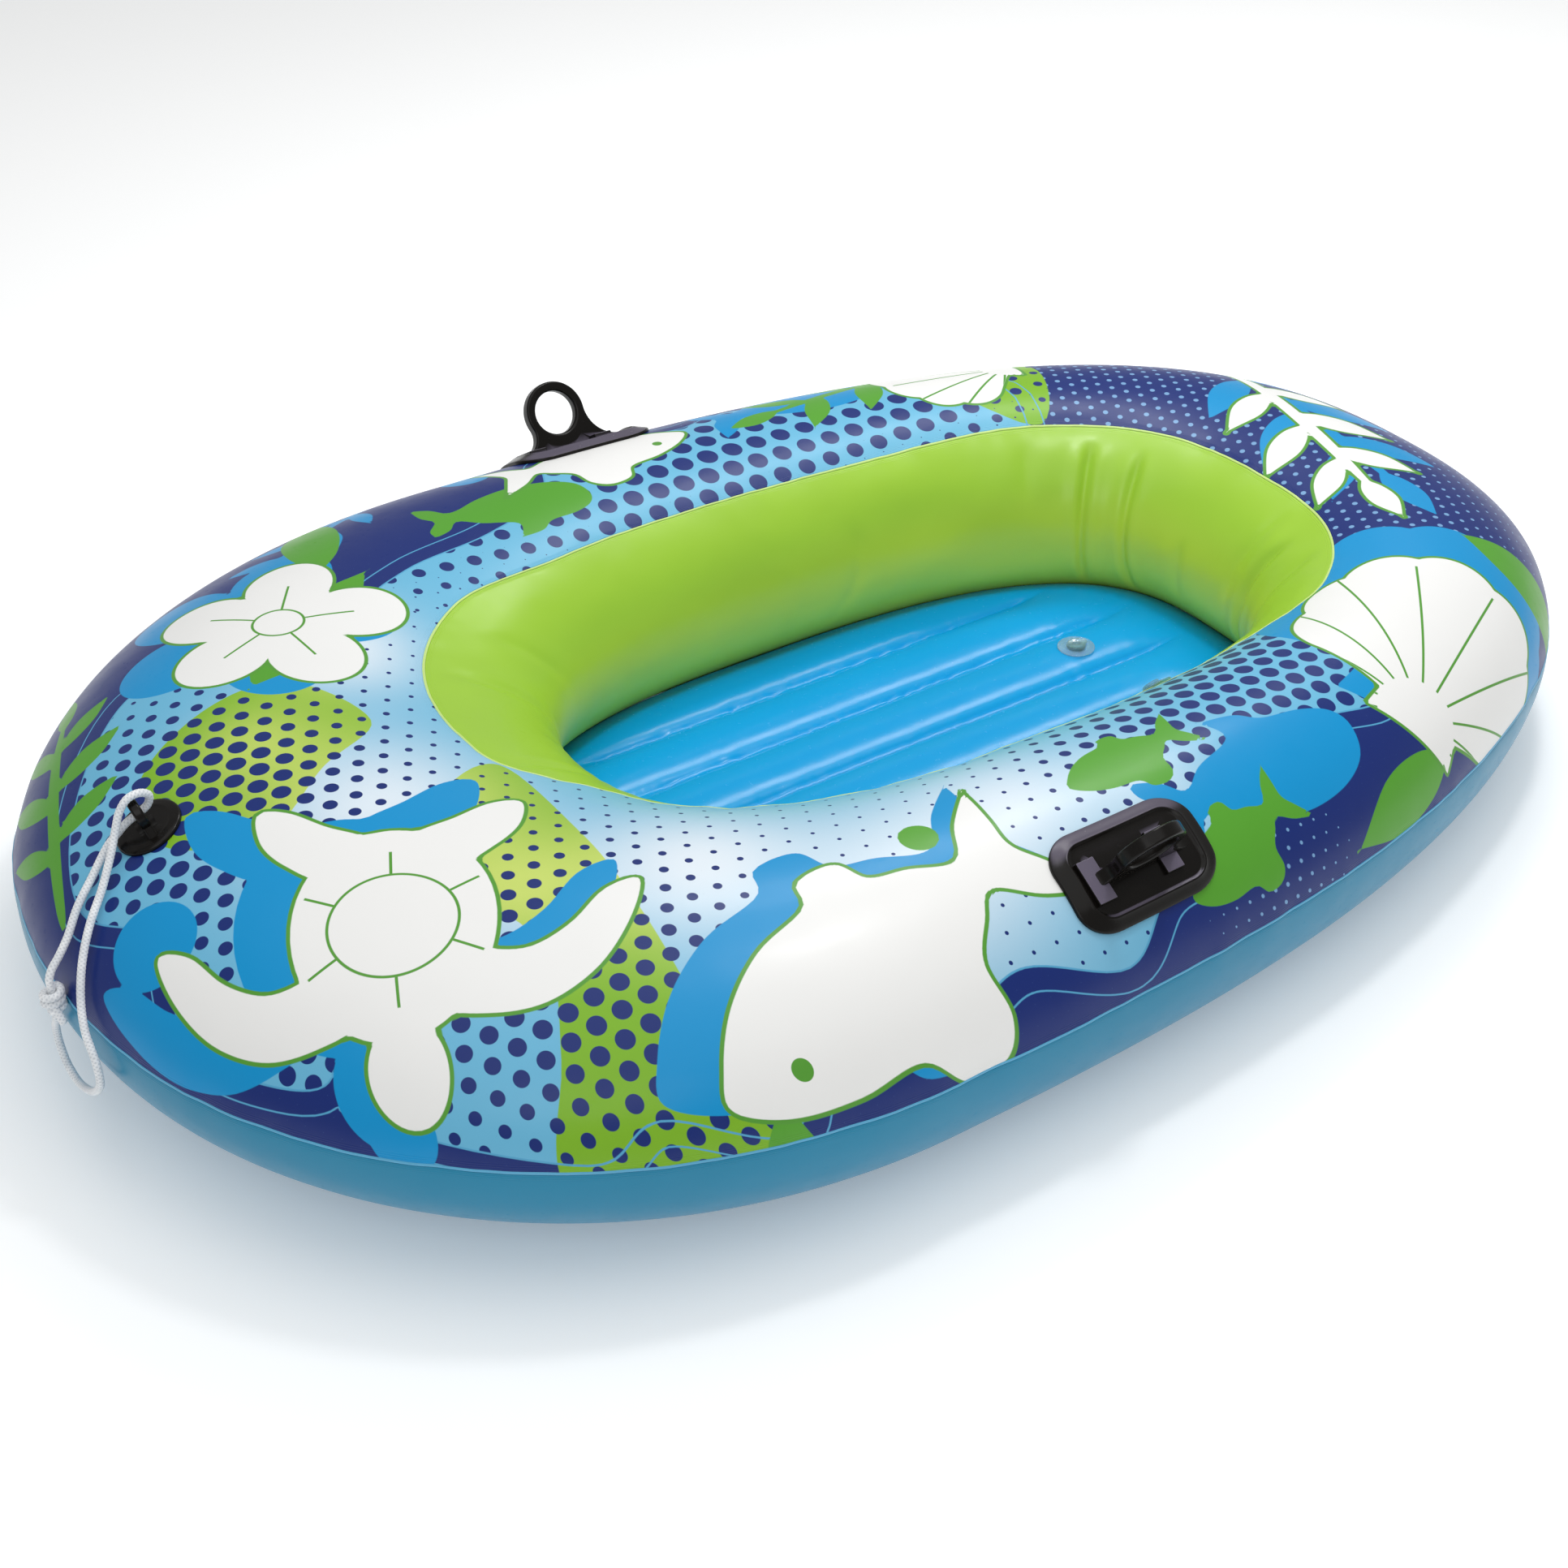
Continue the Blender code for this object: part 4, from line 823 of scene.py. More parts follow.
def nearest(places, outlines):
    near = np.full(len(places), farAway)
    for outline in outlines:
        near = np.minimum(near, outlineDistance(places, outline))
    return near


def laidMotifs(tone):
    for kind, x, y, size, turn, flipped in motifs[tone]:
        for outline in motif(kind):
            yield outline * (1, -1 if flipped else 1) * size @ turnedBy(turn) + (x, y)


def glow(places, kind):
    total = np.zeros(len(places))
    for x, y, reach, strength in spots[kind]:
        total += strength * np.exp(-((places[:, 0] - x) ** 2 + (places[:, 1] - y) ** 2) / reach ** 2)
    return total


def addPrint(data):
    places = readVectors(data, "flat")[:, :2]
    for tone, loops in fields.items():
        pointAttribute(data, tone + "Field", nearest(places, (smoothLoop(loop, 8) for loop in loops)))
    for tone in motifs:
        pointAttribute(data, tone + "Motif", nearest(places, laidMotifs(tone)))
    pointAttribute(data, "paleness", np.clip(glow(places, "pale"), 0, 1))
    large = (glow(places, "large") + dots["largeLeast"]) * eased(places[:, 1], *dots["largeFrom"])
    pointAttribute(data, "largeDots", np.clip(large, 0, dots["largeMost"]))
    far = glow(places, "far") * (1 - eased(places[:, 1], *dots["farUntil"]))
    pointAttribute(data, "farDots", np.clip(far, 0, dots["farMost"]))
    night = glow(places, "night")
    pointAttribute(data, "nightDots", np.clip(night, 0, dots["nightMost"]) * (night > dots["nightLeast"]))
    corners = np.empty(len(data.loops), np.int32)
    data.loops.foreach_get("vertex_index", corners)
    sheetMap = data.uv_layers.new(name="Print")
    sheetMap.data.foreach_set("uv", places[corners].astype(np.float32).ravel())


ink = {
    "navy": colour(14, 40, 112), "pale": colour(104, 180, 214), "white": colour(224, 234, 242),
    "lime": colour(124, 178, 36), "limeWhite": colour(196, 214, 106), "blue": colour(0, 144, 204),
    "green": colour(84, 158, 44), "outline": colour(84, 152, 52), "motif": colour(237, 237, 235),
    "nightDot": colour(122, 168, 212), "line": colour(84, 164, 204),
}
motifLines = {"outline": 0.0031, "ringWidth": 0.0011, "eyeRadius": 0.022, "eye": (0.33, 0.055), "shellRoot": -0.40,
              "bands": ((0.0, 0.0007), (0.016, 0.0006))}  # bands: distance from the pale field's edge, half width
# Fan lines of the motifs that have them: count, start and end as shares of the size, and half width
fans = {"shell": (9.0, 0.16, 0.80, 0.0011), "flower": (2.5, 0.10, 0.30, 0.0010), "turtle": (3.0, 0.15, 0.232, 0.0011)}


def buildPrintedFilm():
    material, tree, shader = newMaterial("printedFilm")
    place = shaderNode(tree, "UVMap", {}, uv_map="Print")[0]

    def inside(distance, shift=0.0):
        return mapped(maths("ADD", distance, shift), -inkEdge["motif"], inkEdge["motif"], 1.0, 0.0)

    def lineAt(distance, offset, halfWidth):
        off = maths("ABSOLUTE", maths("SUBTRACT", distance, offset))
        return mapped(off, halfWidth - inkEdge["line"], halfWidth + inkEdge["line"], 1.0, 0.0)

    def dotted(kind):
        given = {"Place": place, "Pitch": dots[kind + "Pitch"], "Radius": spread(tree, kind + "Dots")}
        return groupNode(tree, halftone, given)["Mask"]

    marks = None
    for kind, x, y, size, turn, flipped in motifs["white"]:
        details = []
        given = {"Vector": place, "Location": (x, y, 0), "Rotation": (0, 0, radians(turn))}
        local = nodeAfter("Mapping", given, vector_type="TEXTURE")[0]
        if kind == "fish":
            along, aside = (share * size for share in motifLines["eye"])
            away = vectorMaths("DISTANCE", local, (along, -aside if flipped else aside, 0), result="Value")
            radius = size * motifLines["eyeRadius"]
            details.append(mapped(away, radius, radius + inkEdge["eye"], 1.0, 0.0))
        if kind in fans:
            count, start, end, width = fans[kind]
            root = motifLines["shellRoot"] * size if kind == "shell" else 0
            local = vectorMaths("SUBTRACT", local, (0, root, 0))
            given = {"Place": local, "Count": count, "From": start * size, "To": end * size, "Width": width}
            details.append(groupNode(tree, fanLines, given)["Mask"])
            if kind != "shell":
                ring = vectorMaths("LENGTH", local, result="Value")
                details.append(lineAt(ring, start * size, motifLines["ringWidth"]))
        for detail in details:
            marks = detail if marks is None else maths("MAXIMUM", marks, detail)

    pale, white = spread(tree, "paleField"), spread(tree, "whiteMotif")
    inPale, inLime, onWhite = inside(pale), inside(spread(tree, "limeField")), inside(white)
    paleness = spread(tree, "paleness")
    limeTone = mixColour(mapped(paleness, 0.05, 0.75), ink["lime"], ink["limeWhite"])
    inField = maths("MAXIMUM", inPale, inLime)
    paint = ink["navy"]
    for mask, tone in (
            (maths("MULTIPLY", dotted("night"), 0.9), ink["nightDot"]),
            (inPale, mixColour(paleness, ink["pale"], ink["white"])), (inLime, limeTone),
            (maths("MULTIPLY", maths("MAXIMUM", dotted("large"), dotted("far")), inField), ink["navy"]),
            *((lineAt(pale, *band), ink["line"]) for band in motifLines["bands"]),
            (inside(spread(tree, "blueMotif")), ink["blue"]), (inside(spread(tree, "greenMotif")), ink["green"]),
            (inside(white, -motifLines["outline"]), ink["outline"]), (onWhite, ink["motif"]),
            (maths("MULTIPLY", marks, onWhite), ink["outline"])):
        paint = mixColour(mask, paint, tone)
    # Gloss, cloudiness, slack and grain, as for the other films
    dressFilm(shader, paint, 0.36, 0.05, 0.0006, 0.000010, weld=True, shine=0.28, coat=0.05, coatBlur=0.15)
    return material


addPrint(deck.data)
deck.data.materials[0] = buildPrintedFilm()
print("print laid out")


# A bead of molten vinyl that a weld squeezes out along the edge of a film
def addWeldBead(name, seam, across, material, shift):
    angles = np.linspace(0, tau, 11)[:, None]
    lean = seamLean[seam] + leanStep(seam, 1.0) * (shift + across * np.cos(angles))
    high = weldBead["high"] * (1 + weldBead["uneven"] * ripple(roundShare[None, :], weldBead["waves"], 41))
    places = skin(stationTurns[None, :], lean, relief(lean) - weldBead["sunk"] + high * np.sin(angles))
    addPiece(name, laidGrid(places[::-1]), material)


weldBead = {"high": 0.0006, "uneven": 0.3, "waves": 260, "sunk": 0.0002}
addWeldBead("rimWeld", "rimSeam", 0.0013, limeWeld, 0.0003)
addWeldBead("outerWeld", "outerSeam", 0.0012, blueWeld, -0.0003)

# Floor mat: lengthwise ribs that run out before the ends, on a skirt down the wall's foot
mat = {"ribCount": 6, "ribHeight": 0.010, "valleyDrop": 0.001, "edgeRoll": 0.030, "belly": 0.014,
       "endRun": (0.022, 0.090), "endHeight": 0.86, "pucker": 0.0007, "across": 148, "along": 250, "skirt": 4,
       "underAcross": 76, "underAlong": 120, "centre": -0.08, "edgePlaces": 1441}
# Tugs across a valley: shift from rib to rib, waves, seed, how far they reach and their share
ribTugs = ((0.37, 97, 3, 0.009, 1.0), (0.61, 211, 4, 0.004, 0.6))
edgeTugs = {"waves": 120, "seed": 6, "reach": 0.012, "share": 1.6}
web = {"within": (-0.42, 0.26), "tries": 120, "along": 90, "up": 7, "sway": 0.0008, "waves": 31, "ends": 0.06}


def edgeTable(seam, proud):
    turns = np.interp(np.linspace(0, wallArc[-1], mat["edgePlaces"]), wallArc, fineTurns)
    return turns, skin(turns, np.full_like(turns, seam), proud)


matTurns, matEdge = edgeTable(hull["floorEdge"], hull["gap"])
footEdge = edgeTable(hull["footSeam"], hull["gap"] + hull["film"] * 1.5)[1]
ribPitch = 2 * matEdge[:, 1].max() / mat["ribCount"]


# How far a place on the mat lies inside its edge, from the side and from either end
def insideEdge(x, y, edge):
    port = edge[:len(edge) // 2 + 1][::-1]  # from stern to bow
    halfWidth = np.interp(x, port[:, 0], port[:, 1])
    widest = port[:, 1].argmax()
    bowEnd = np.interp(np.abs(y), port[widest:, 1][::-1], port[widest:, 0][::-1])
    sternEnd = np.interp(np.abs(y), port[:widest + 1, 1], port[:widest + 1, 0])
    return halfWidth - np.abs(y), np.minimum(bowEnd - x, x - sternEnd), np.interp(x, port[:, 0], port[:, 2])


# At a place on the mat: the way in from its edge, the edge's height, how far the mat has swelled up from it,
# the place across a rib, the rib's arch, and how far the ribs have risen from their ends
def swell(x, y, edge):
    side, end, base = insideEdge(x, y, edge)
    inward = np.minimum(side, end)
    fade = np.sin(pi / 2 * np.clip(inward / mat["edgeRoll"], 0, 1))
    share = (y / ribPitch + mat["ribCount"] / 2) % 1
    arch = np.sqrt(np.clip(1 - (2 * share - 1) ** 2, 0, 1))
    return inward, base, fade, share, arch, eased(end, *mat["endRun"])


def matHeight(x, y):
    inward, base, fade, share, arch, ribbed = swell(x, y, matEdge)
    form = arch * ribbed + mat["endHeight"] * (1 - ribbed)
    valley, lane = np.minimum(share, 1 - share) * ribPitch, np.round(y / ribPitch)
    tugs = sum(ripple(x * 1.1 + lane * shift, waves, seed) * np.exp(-valley / reach) * part
               for shift, waves, seed, reach, part in ribTugs)
    edge = ripple(np.arctan2(y, x - mat["centre"]) / tau, edgeTugs["waves"], edgeTugs["seed"])
    edge = edge * np.exp(-inward / edgeTugs["reach"]) * fade
    pulled = mat["pucker"] * (tugs * ribbed * fade + edgeTugs["share"] * edge)
    return base + (mat["ribHeight"] * form - mat["valleyDrop"]) * fade + pulled


def underHeight(x, y):
    inward, base, fade, share, arch, ribbed = swell(x, y, footEdge)
    return base - mat["belly"] * fade * (0.9 + 0.1 * arch * ribbed)


# Squares of a grid drawn out to the mat's outline. The last rings of the grid are the skirt
def matGrid(rows, columns, skirt):
    p, q = np.meshgrid(np.linspace(-1, 1, columns + 1), np.linspace(-1, 1, rows + 1))
    ring = np.maximum(np.abs(p), np.abs(q))
    border = 1 - 2 * skirt / max(rows, columns)
    onTop = np.maximum(ring, border)
    p, q = p / onTop, q / onTop
    u, v = p * np.sqrt(1 - q * q / 2), q * np.sqrt(1 - p * p / 2)
    return np.hypot(u, v), np.arctan2(v, u) / tau % 1, np.clip((ring - border) / (1 - border), 0, 1)


def boundary(share, table):
    marks = np.linspace(0, 1, len(table))
    return np.stack([np.interp(share, marks, table[:, k]) for k in range(table.shape[1])], -1)


def drawnOut(reach, share, edge, heightAt):
    border = boundary(share, edge)
    centre = np.array((mat["centre"], 0.0))
    flat = centre + (border[..., :2] - centre) * reach[..., None]
    return border, np.concatenate([flat, heightAt(flat[..., 0], flat[..., 1])[..., None]], -1)


def floorTopGrid():
    reach, share, down = matGrid(mat["across"], mat["along"], mat["skirt"])
    border, places = drawnOut(reach, share, matEdge, matHeight)
    turns = boundary(share, matTurns[:, None])[..., 0]
    around = np.linalg.norm(tubeAxes(turns, np.full_like(turns, hull["footSeam"]))[1], axis=-1)
    foot = hull["footSeam"] - hull["lap"] / around
    skirt = skin(turns, hull["floorEdge"] + (foot - hull["floorEdge"]) * down, hull["gap"])
    places = np.where((down > 0)[..., None], skirt, places)
    places[..., 2] = np.where((down <= 0) & (reach > 0.9999), border[..., 2], places[..., 2])
    return laidGrid(places)


def floorBottomGrid():
    reach, share, down = matGrid(mat["underAcross"], mat["underAlong"], 0)
    return laidGrid(drawnOut(reach, share, footEdge, underHeight)[1][:, ::-1])


# A web between the two floor films, under a valley
def webGrid(number):
    y = (number - mat["ribCount"] / 2) * ribPitch
    x = np.linspace(*web["within"], web["tries"])
    x = x[insideEdge(x, np.full_like(x, y), footEdge)[1] > web["ends"]]
    x = np.linspace(x.min(), x.max(), web["along"])
    row, clear = np.full_like(x, y), 2 * hull["film"] + hull["gap"]
    low, top = underHeight(x, row) + clear, matHeight(x, row) - clear
    ladder = np.linspace(0, 1, web["up"])[:, None]
    sway = web["sway"] * np.sin(pi * ladder) * ripple(x[None, :] * 2, web["waves"], number)
    return laidGrid(np.stack([x + 0 * ladder, y + sway, low + (top - low) * ladder], -1))


# A piece of floor film, whose thickness lies on the side away from where its faces point
def addFloorPiece(name, mesh, node):
    bmesh.ops.solidify(mesh, geom=mesh.faces[:], thickness=hull["film"])
    return addPiece(name, mesh, floorFilm, node=node)


floorTop = addFloorPiece("floorTop", floorTopGrid(), "floor_top_sheet")
addFloorPiece("floorBottom", floorBottomGrid(), "floor_bottom_sheet")
for number in range(1, mat["ribCount"]):
    addFloorPiece(f"floorWeb{number}", webGrid(number), f"floor_web_{number}")
print("floor mat laid")


# Frames on the film: where a moulding or a valve is welded on
def skinFrame(turn, lean):
    along, around, out = (Vector(axis.tolist()) for axis in tubeAxes(np.array(turn), np.array(lean)))
    ahead = along.normalized()
    axes = Matrix((ahead, out.cross(ahead).normalized(), out)).transposed()
    return Matrix.Translation(Vector(skin(np.array(turn), np.array(lean)).tolist())) @ axes.to_4x4()


# The turn between two others at which the film reaches a place along X (0) or Y (1), by halving
def turnAt(lean, target, axis, low, high):
    low, high = np.full_like(lean, low), np.full_like(lean, high)
    end = skin(high, lean)[..., axis] - target
    for _ in range(46):
        middle = (low + high) / 2
        same = (skin(middle, lean)[..., axis] - target) * end > 0
        high = np.where(same, middle, high)
        low = np.where(same, low, middle)
    return (low + high) / 2


softAngle = radians(35)


def softened(mesh, width, segments):
    sharp = [edge for edge in mesh.edges if len(edge.link_faces) == 2 and edge.calc_face_angle() > softAngle]
    bmesh.ops.bevel(mesh, geom=sharp, offset=width, segments=segments, profile=0.5, affect="EDGES", material=-1,
                    clamp_overlap=True)
    return mesh


# Joins closed parts to an object's mesh, cuts holes out of it, and gives the outcome
def combined(base, parts, holes):
    tools = []
    for operation, meshes in (("UNION", parts), ("DIFFERENCE", holes)):
        for mesh in meshes:
            tools.append(placed("tool", meshData("tool", mesh)))
            step = base.modifiers.new("Join", "BOOLEAN")
            step.operation, step.solver, step.object = operation, "EXACT", tools[-1]
    bpy.context.view_layer.update()
    done = bpy.data.meshes.new_from_object(base.evaluated_get(bpy.context.evaluated_depsgraph_get()))
    for tool in tools:
        bpy.data.objects.remove(tool)
    return done


def joined(name, parts, holes=()):
    base = placed(name, meshData(name, parts[0]))
    done = combined(base, parts[1:], holes)
    bpy.data.objects.remove(base)
    return done


def cutHole(piece, cutter):
    done = combined(piece, (), [cutter])
    piece.modifiers.clear()
    piece.data = done


def moved(mesh, matrix):
    mesh.transform(matrix)
    if matrix.determinant() < 0:
        bmesh.ops.reverse_faces(mesh, faces=mesh.faces)
    return mesh


# Oarlock moulding: a draped base with a raised tray edge, an upright ring on hollow flares, and two pads
oarlock = {
    "x": 0.018, "lean": radians(52), "length": 0.134, "width": 0.094, "corner": 0.030, "cornerSteps": 14,
    "sideSteps": 14, "holeRadius": 0.0195, "ringWall": 0.0085, "holeHeight": 0.036, "ahead": 0.009,
    "thickness": 0.011, "edgeRound": 0.0028, "bowFlare": 0.016, "sternFlare": 0.030, "rootDepth": 0.0030,
    "padLength": 0.017, "padWidth": 0.012, "padHeight": 0.0075, "padSpread": 0.033, "padRound": 0.0011,
    "trayFloor": 0.0045, "underInsets": (0.42, 0.3, 0.2, 0.1),
}
# Its section from the edge inwards: inset and height
oarlockSection = ((0.0, 0.0), (0.0, 0.0012), (0.0, 0.0019), (0.0003, 0.0024), (0.0009, 0.0028), (0.0025, 0.0034),
                  (0.0050, 0.0041), (0.0080, 0.0050), (0.0104, 0.0058), (0.0114, 0.0063), (0.0121, 0.0066),
                  (0.0129, 0.0066), (0.0136, 0.0063), (0.0142, 0.0056), (0.0150, 0.0050), (0.0160, 0.0047),
                  (0.0175, 0.0045), (0.0230, 0.0045), (0.0300, 0.0045), (0.0380, 0.0045))


def roundRectangle(length, width, corner, inset):
    reach = np.array((length / 2 - corner, width / 2 - corner))
    radius = max(corner - inset, corner / 6)
    reach = reach - max(0, inset - corner + radius)
    signs = [np.array(sign) for sign in ((1, 1), (-1, 1), (-1, -1), (1, -1))]
    points = []
    for quarter in range(4):
        for k in range(oarlock["cornerSteps"] + 1):
            angle = pi / 2 * (quarter + k / oarlock["cornerSteps"])
            points.append(signs[quarter] * reach + np.array((cos(angle), sin(angle))) * radius)
        following = signs[(quarter + 1) % 4] * reach
        start, stop = points[-1], following + np.array((cos(angle), sin(angle))) * radius
        points += [start + (stop - start) * n / oarlock["sideSteps"] for n in range(1, oarlock["sideSteps"])]
    return np.array(points + points[:1])


# Loops of flat places at rising heights, laid on the film and closed at both poles
def drapedShell(turn, lean, axis, loops, reach=radians(35)):
    start = skin(np.array(turn), np.array(lean))[axis]
    around = np.linalg.norm(tubeAxes(np.array(turn), np.array(lean))[1])
    flat = np.array([loop for loop, proud in loops])
    proud = np.array([proud for loop, proud in loops])[:, None]
    here = lean + flat[..., 1] / around
    turns = turnAt(here, start + flat[..., 0], axis, turn - reach, turn + reach)
    mesh = laidGrid(skin(turns, here, hull["gap"] + proud + 0 * here))
    bmesh.ops.recalc_face_normals(mesh, faces=mesh.faces)
    return mesh


def uprightPlate(outline, thickness, rounding):
    mesh = bmesh.new()
    verts = [mesh.verts.new((x, -thickness / 2, z)) for x, z in outline]
    face = mesh.faces.new(verts)
    pushed = bmesh.ops.extrude_face_region(mesh, geom=[face])["geom"]
    bmesh.ops.translate(mesh, vec=(0, thickness, 0), verts=[v for v in pushed if isinstance(v, bmesh.types.BMVert)])
    foot = min(z for x, z in outline)
    rims = [edge for edge in mesh.edges if abs(edge.verts[0].co.y - edge.verts[1].co.y) < thickness / 2
            and max(vert.co.z for vert in edge.verts) > foot + rounding / 10]
    bmesh.ops.bevel(mesh, geom=rims, offset=rounding, segments=4, profile=0.5, affect="EDGES", material=-1,
                    clamp_overlap=True)
    bmesh.ops.recalc_face_normals(mesh, faces=mesh.faces)
    return mesh


# A solid spun from an outline of radius and height
def spun(outline, steps=48):
    mesh = bmesh.new()
    verts = [mesh.verts.new((radius, 0, height)) for radius, height in outline]
    edges = [mesh.edges.new((verts[k - 1], verts[k])) for k in range(len(verts))]
    edges = [edge for edge in edges if any(vert.co.x > 0 for vert in edge.verts)]
    bmesh.ops.spin(mesh, geom=verts + edges, cent=(0, 0, 0), axis=(0, 0, 1), angle=tau, steps=steps, use_merge=True)
    bmesh.ops.remove_doubles(mesh, verts=mesh.verts, dist=mergeDistance)
    bmesh.ops.recalc_face_normals(mesh, faces=mesh.faces)
    return mesh


def arc(centreX, centreZ, radius, start, stop, steps):
    angles = [start + (stop - start) * k / steps for k in range(steps + 1)]
    return [(centreX + radius * cos(angle), centreZ + radius * sin(angle)) for angle in angles]


# The cutter of a ring's hole, which widens in a quarter round towards both faces
def holeCutter(radius, thickness, rounding):
    half = thickness / 2
    lip = [(radius + rounding * (1 - cos(a)), half - rounding + rounding * sin(a)) for a in np.linspace(0, pi / 2, 5)]
    side = lip + [(radius + thickness, half), (radius + thickness, thickness), (0, thickness)]
    outline = [(x, -z) for x, z in side[::-1]] + side
    mesh = spun(outline, 56)
    bmesh.ops.rotate(mesh, cent=(0, 0, 0), matrix=Matrix.Rotation(pi / 2, 3, "X"), verts=mesh.verts)
    return mesh


def oarlockOutline():
    outer = oarlock["holeRadius"] + oarlock["ringWall"]
    floor, high = oarlock["trayFloor"], oarlock["holeHeight"]
    flares = []
    for radius, side in ((oarlock["bowFlare"], 1), (oarlock["sternFlare"], -1)):
        reach = sqrt((outer + radius) ** 2 - (high - floor - radius) ** 2)
        meet = atan2(high - floor - radius, -reach) % tau
        flares.append([(oarlock["ahead"] + side * x, z)
                       for x, z in arc(reach, floor + radius, radius, 1.5 * pi, meet, 16)])
    bow, stern = flares
    start = atan2(bow[-1][1] - high, bow[-1][0] - oarlock["ahead"])
    stop = atan2(stern[-1][1] - high, stern[-1][0] - oarlock["ahead"])
    crown = arc(oarlock["ahead"], high, outer, start, stop if stop > start else stop + tau, 36)[1:-1]
    root = floor - oarlock["rootDepth"]
    return [(bow[0][0], root), *bow, *crown, *stern[::-1], (stern[0][0], root)]


# Painted sheen: a lighter lilac grey painted on the flat tops of the pads, and where the base faces the sky
paintedSheen = {"top": 1.0, "topWithin": 0.0003, "topFrom": 0.9, "flank": 0.75, "flankFrom": (0.90, 0.975),
         "flankHigh": 0.001}


def addPaintedSheen(data, place):
    inverse, turned = place.inverted(), place.to_3x3().inverted()
    values = []
    for face in data.polygons:
        centre, out = inverse @ face.center, turned @ face.normal
        onPad = abs(abs(centre.x - oarlock["ahead"]) - oarlock["padSpread"]) < oarlock["padLength"] / 2
        top = (onPad and out.z > paintedSheen["topFrom"]
               and abs(centre.z - oarlock["padHeight"]) < paintedSheen["topWithin"])
        for corner in face.loop_indices:
            vert = data.vertices[data.loops[corner].vertex_index]
            low = (inverse @ vert.co).z < oarlock["padHeight"] + paintedSheen["flankHigh"]
            flank = paintedSheen["flank"] * low * float(eased(vert.normal.z, *paintedSheen["flankFrom"]))
            values.append(paintedSheen["top"] if top else flank)
    data.attributes.new("paintedSheen", "FLOAT", "CORNER").data.foreach_set("value", np.array(values, np.float32))


# A moulding: its parts joined, the hole of its ring cut out, and its shading evened
def addMoulding(name, node, place, parts, size):
    hole = holeCutter(size["holeRadius"], size["thickness"], size["edgeRound"])
    bmesh.ops.translate(hole, vec=(size["ahead"], 0, size["holeHeight"]), verts=hole.verts)
    data = joined(name, parts, [moved(hole, place)])
    # An oarlock also gets its painted sheen
    if size is oarlock:
        addPaintedSheen(data, place)
    piece = addPiece(name, data, blackVinyl, node=node, sharp=32)
    piece.modifiers.new("Even shading", "WEIGHTED_NORMAL").keep_sharp = True


def block(low, high):
    mesh = bmesh.new()
    low, high = Vector(low), Vector(high)
    bmesh.ops.create_cube(mesh, size=1,
                          matrix=Matrix.Translation((low + high) / 2) @ Matrix.Diagonal((*(high - low), 1)))
    return mesh


def addOarlock(name, side, node):
    turn = float(turnAt(np.array(oarlock["lean"]), oarlock["x"], 0, radians(60), radians(130)))
    size = (oarlock["length"], oarlock["width"], oarlock["corner"])
    under = [(roundRectangle(*size, oarlock["width"] * share), 0.0) for share in oarlock["underInsets"]]
    pole = np.zeros_like(under[0][0])
    loops = [(pole, 0.0), *under, *[(roundRectangle(*size, inset), high) for inset, high in oarlockSection],
             (pole, oarlock["trayFloor"])]
    flip = Matrix.Diagonal((1, side, 1, 1))
    place = flip @ skinFrame(turn, oarlock["lean"]) @ Matrix.Rotation(pi, 4, "Z")
    parts = [moved(drapedShell(turn, oarlock["lean"], 0, loops), flip),
             moved(uprightPlate(oarlockOutline(), oarlock["thickness"], oarlock["edgeRound"]), place)]
    foot, long, wide = oarlock["trayFloor"] - oarlock["rootDepth"], oarlock["padLength"] / 2, oarlock["padWidth"]
    wide += oarlock["thickness"] / 2
    for middle in (oarlock["ahead"] + oarlock["padSpread"], oarlock["ahead"] - oarlock["padSpread"]):
        pad = block((middle - long, -wide, foot), (middle + long, wide, oarlock["padHeight"]))
        parts.append(moved(softened(pad, oarlock["padRound"], 3), place))
    addMoulding(name, node, place, parts, oarlock)


addOarlock("oarlockPort", 1, "oarlock_port")
addOarlock("oarlockStarboard", -1, "oarlock_starboard")

# Bow eyelet: a round base and an upright lug
eyelet = {"offCentre": -0.040, "lean": radians(55), "baseRadius": 0.026, "baseHeight": 0.0035, "holeHeight": 0.016,
          "lugRadius": 0.0145, "holeRadius": 0.0070, "thickness": 0.0075, "edgeRound": 0.0018, "footWidth": 0.036,
          "rootDepth": 0.002, "ahead": 0.0, "underShares": (0, 0.5, 0.85), "lugEnds": (radians(-20), radians(200))}
eyeletSection = ((1.0, 0.0), (1.0, 0.0010), (0.992, 0.0018), (0.972, 0.0025), (0.945, 0.0029), (0.90, 0.0032),
                 (0.84, 0.0034), (0.78, 0.0036), (0.73, 0.0038), (0.69, 0.0037), (0.64, 0.0035), (0.40, 0.0035))


def addEyelet():
    turn = float(turnAt(np.array(eyelet["lean"]), eyelet["offCentre"], 1, radians(-30), radians(20)))
    circle = circled(np.linspace(0, tau, 73)) * eyelet["baseRadius"]
    base = eyelet["baseHeight"]
    loops = [(circle * share, 0.0) for share in eyelet["underShares"]]
    loops += [(circle * share, high) for share, high in eyeletSection] + [(circle * 0, base)]
    place = skinFrame(turn, eyelet["lean"])
    root, foot = base - eyelet["rootDepth"], eyelet["footWidth"] / 2
    crown = arc(0, eyelet["holeHeight"], eyelet["lugRadius"], *eyelet["lugEnds"], 36)
    outline = [(foot, root), (foot, base), *crown, (-foot, base), (-foot, root)]
    parts = [drapedShell(turn, eyelet["lean"], 1, loops),
             moved(uprightPlate(outline, eyelet["thickness"], eyelet["edgeRound"]), place)]
    addMoulding("bowEyelet", "bow_eyelet", place, parts, eyelet)


addEyelet()
print("mouldings laid")

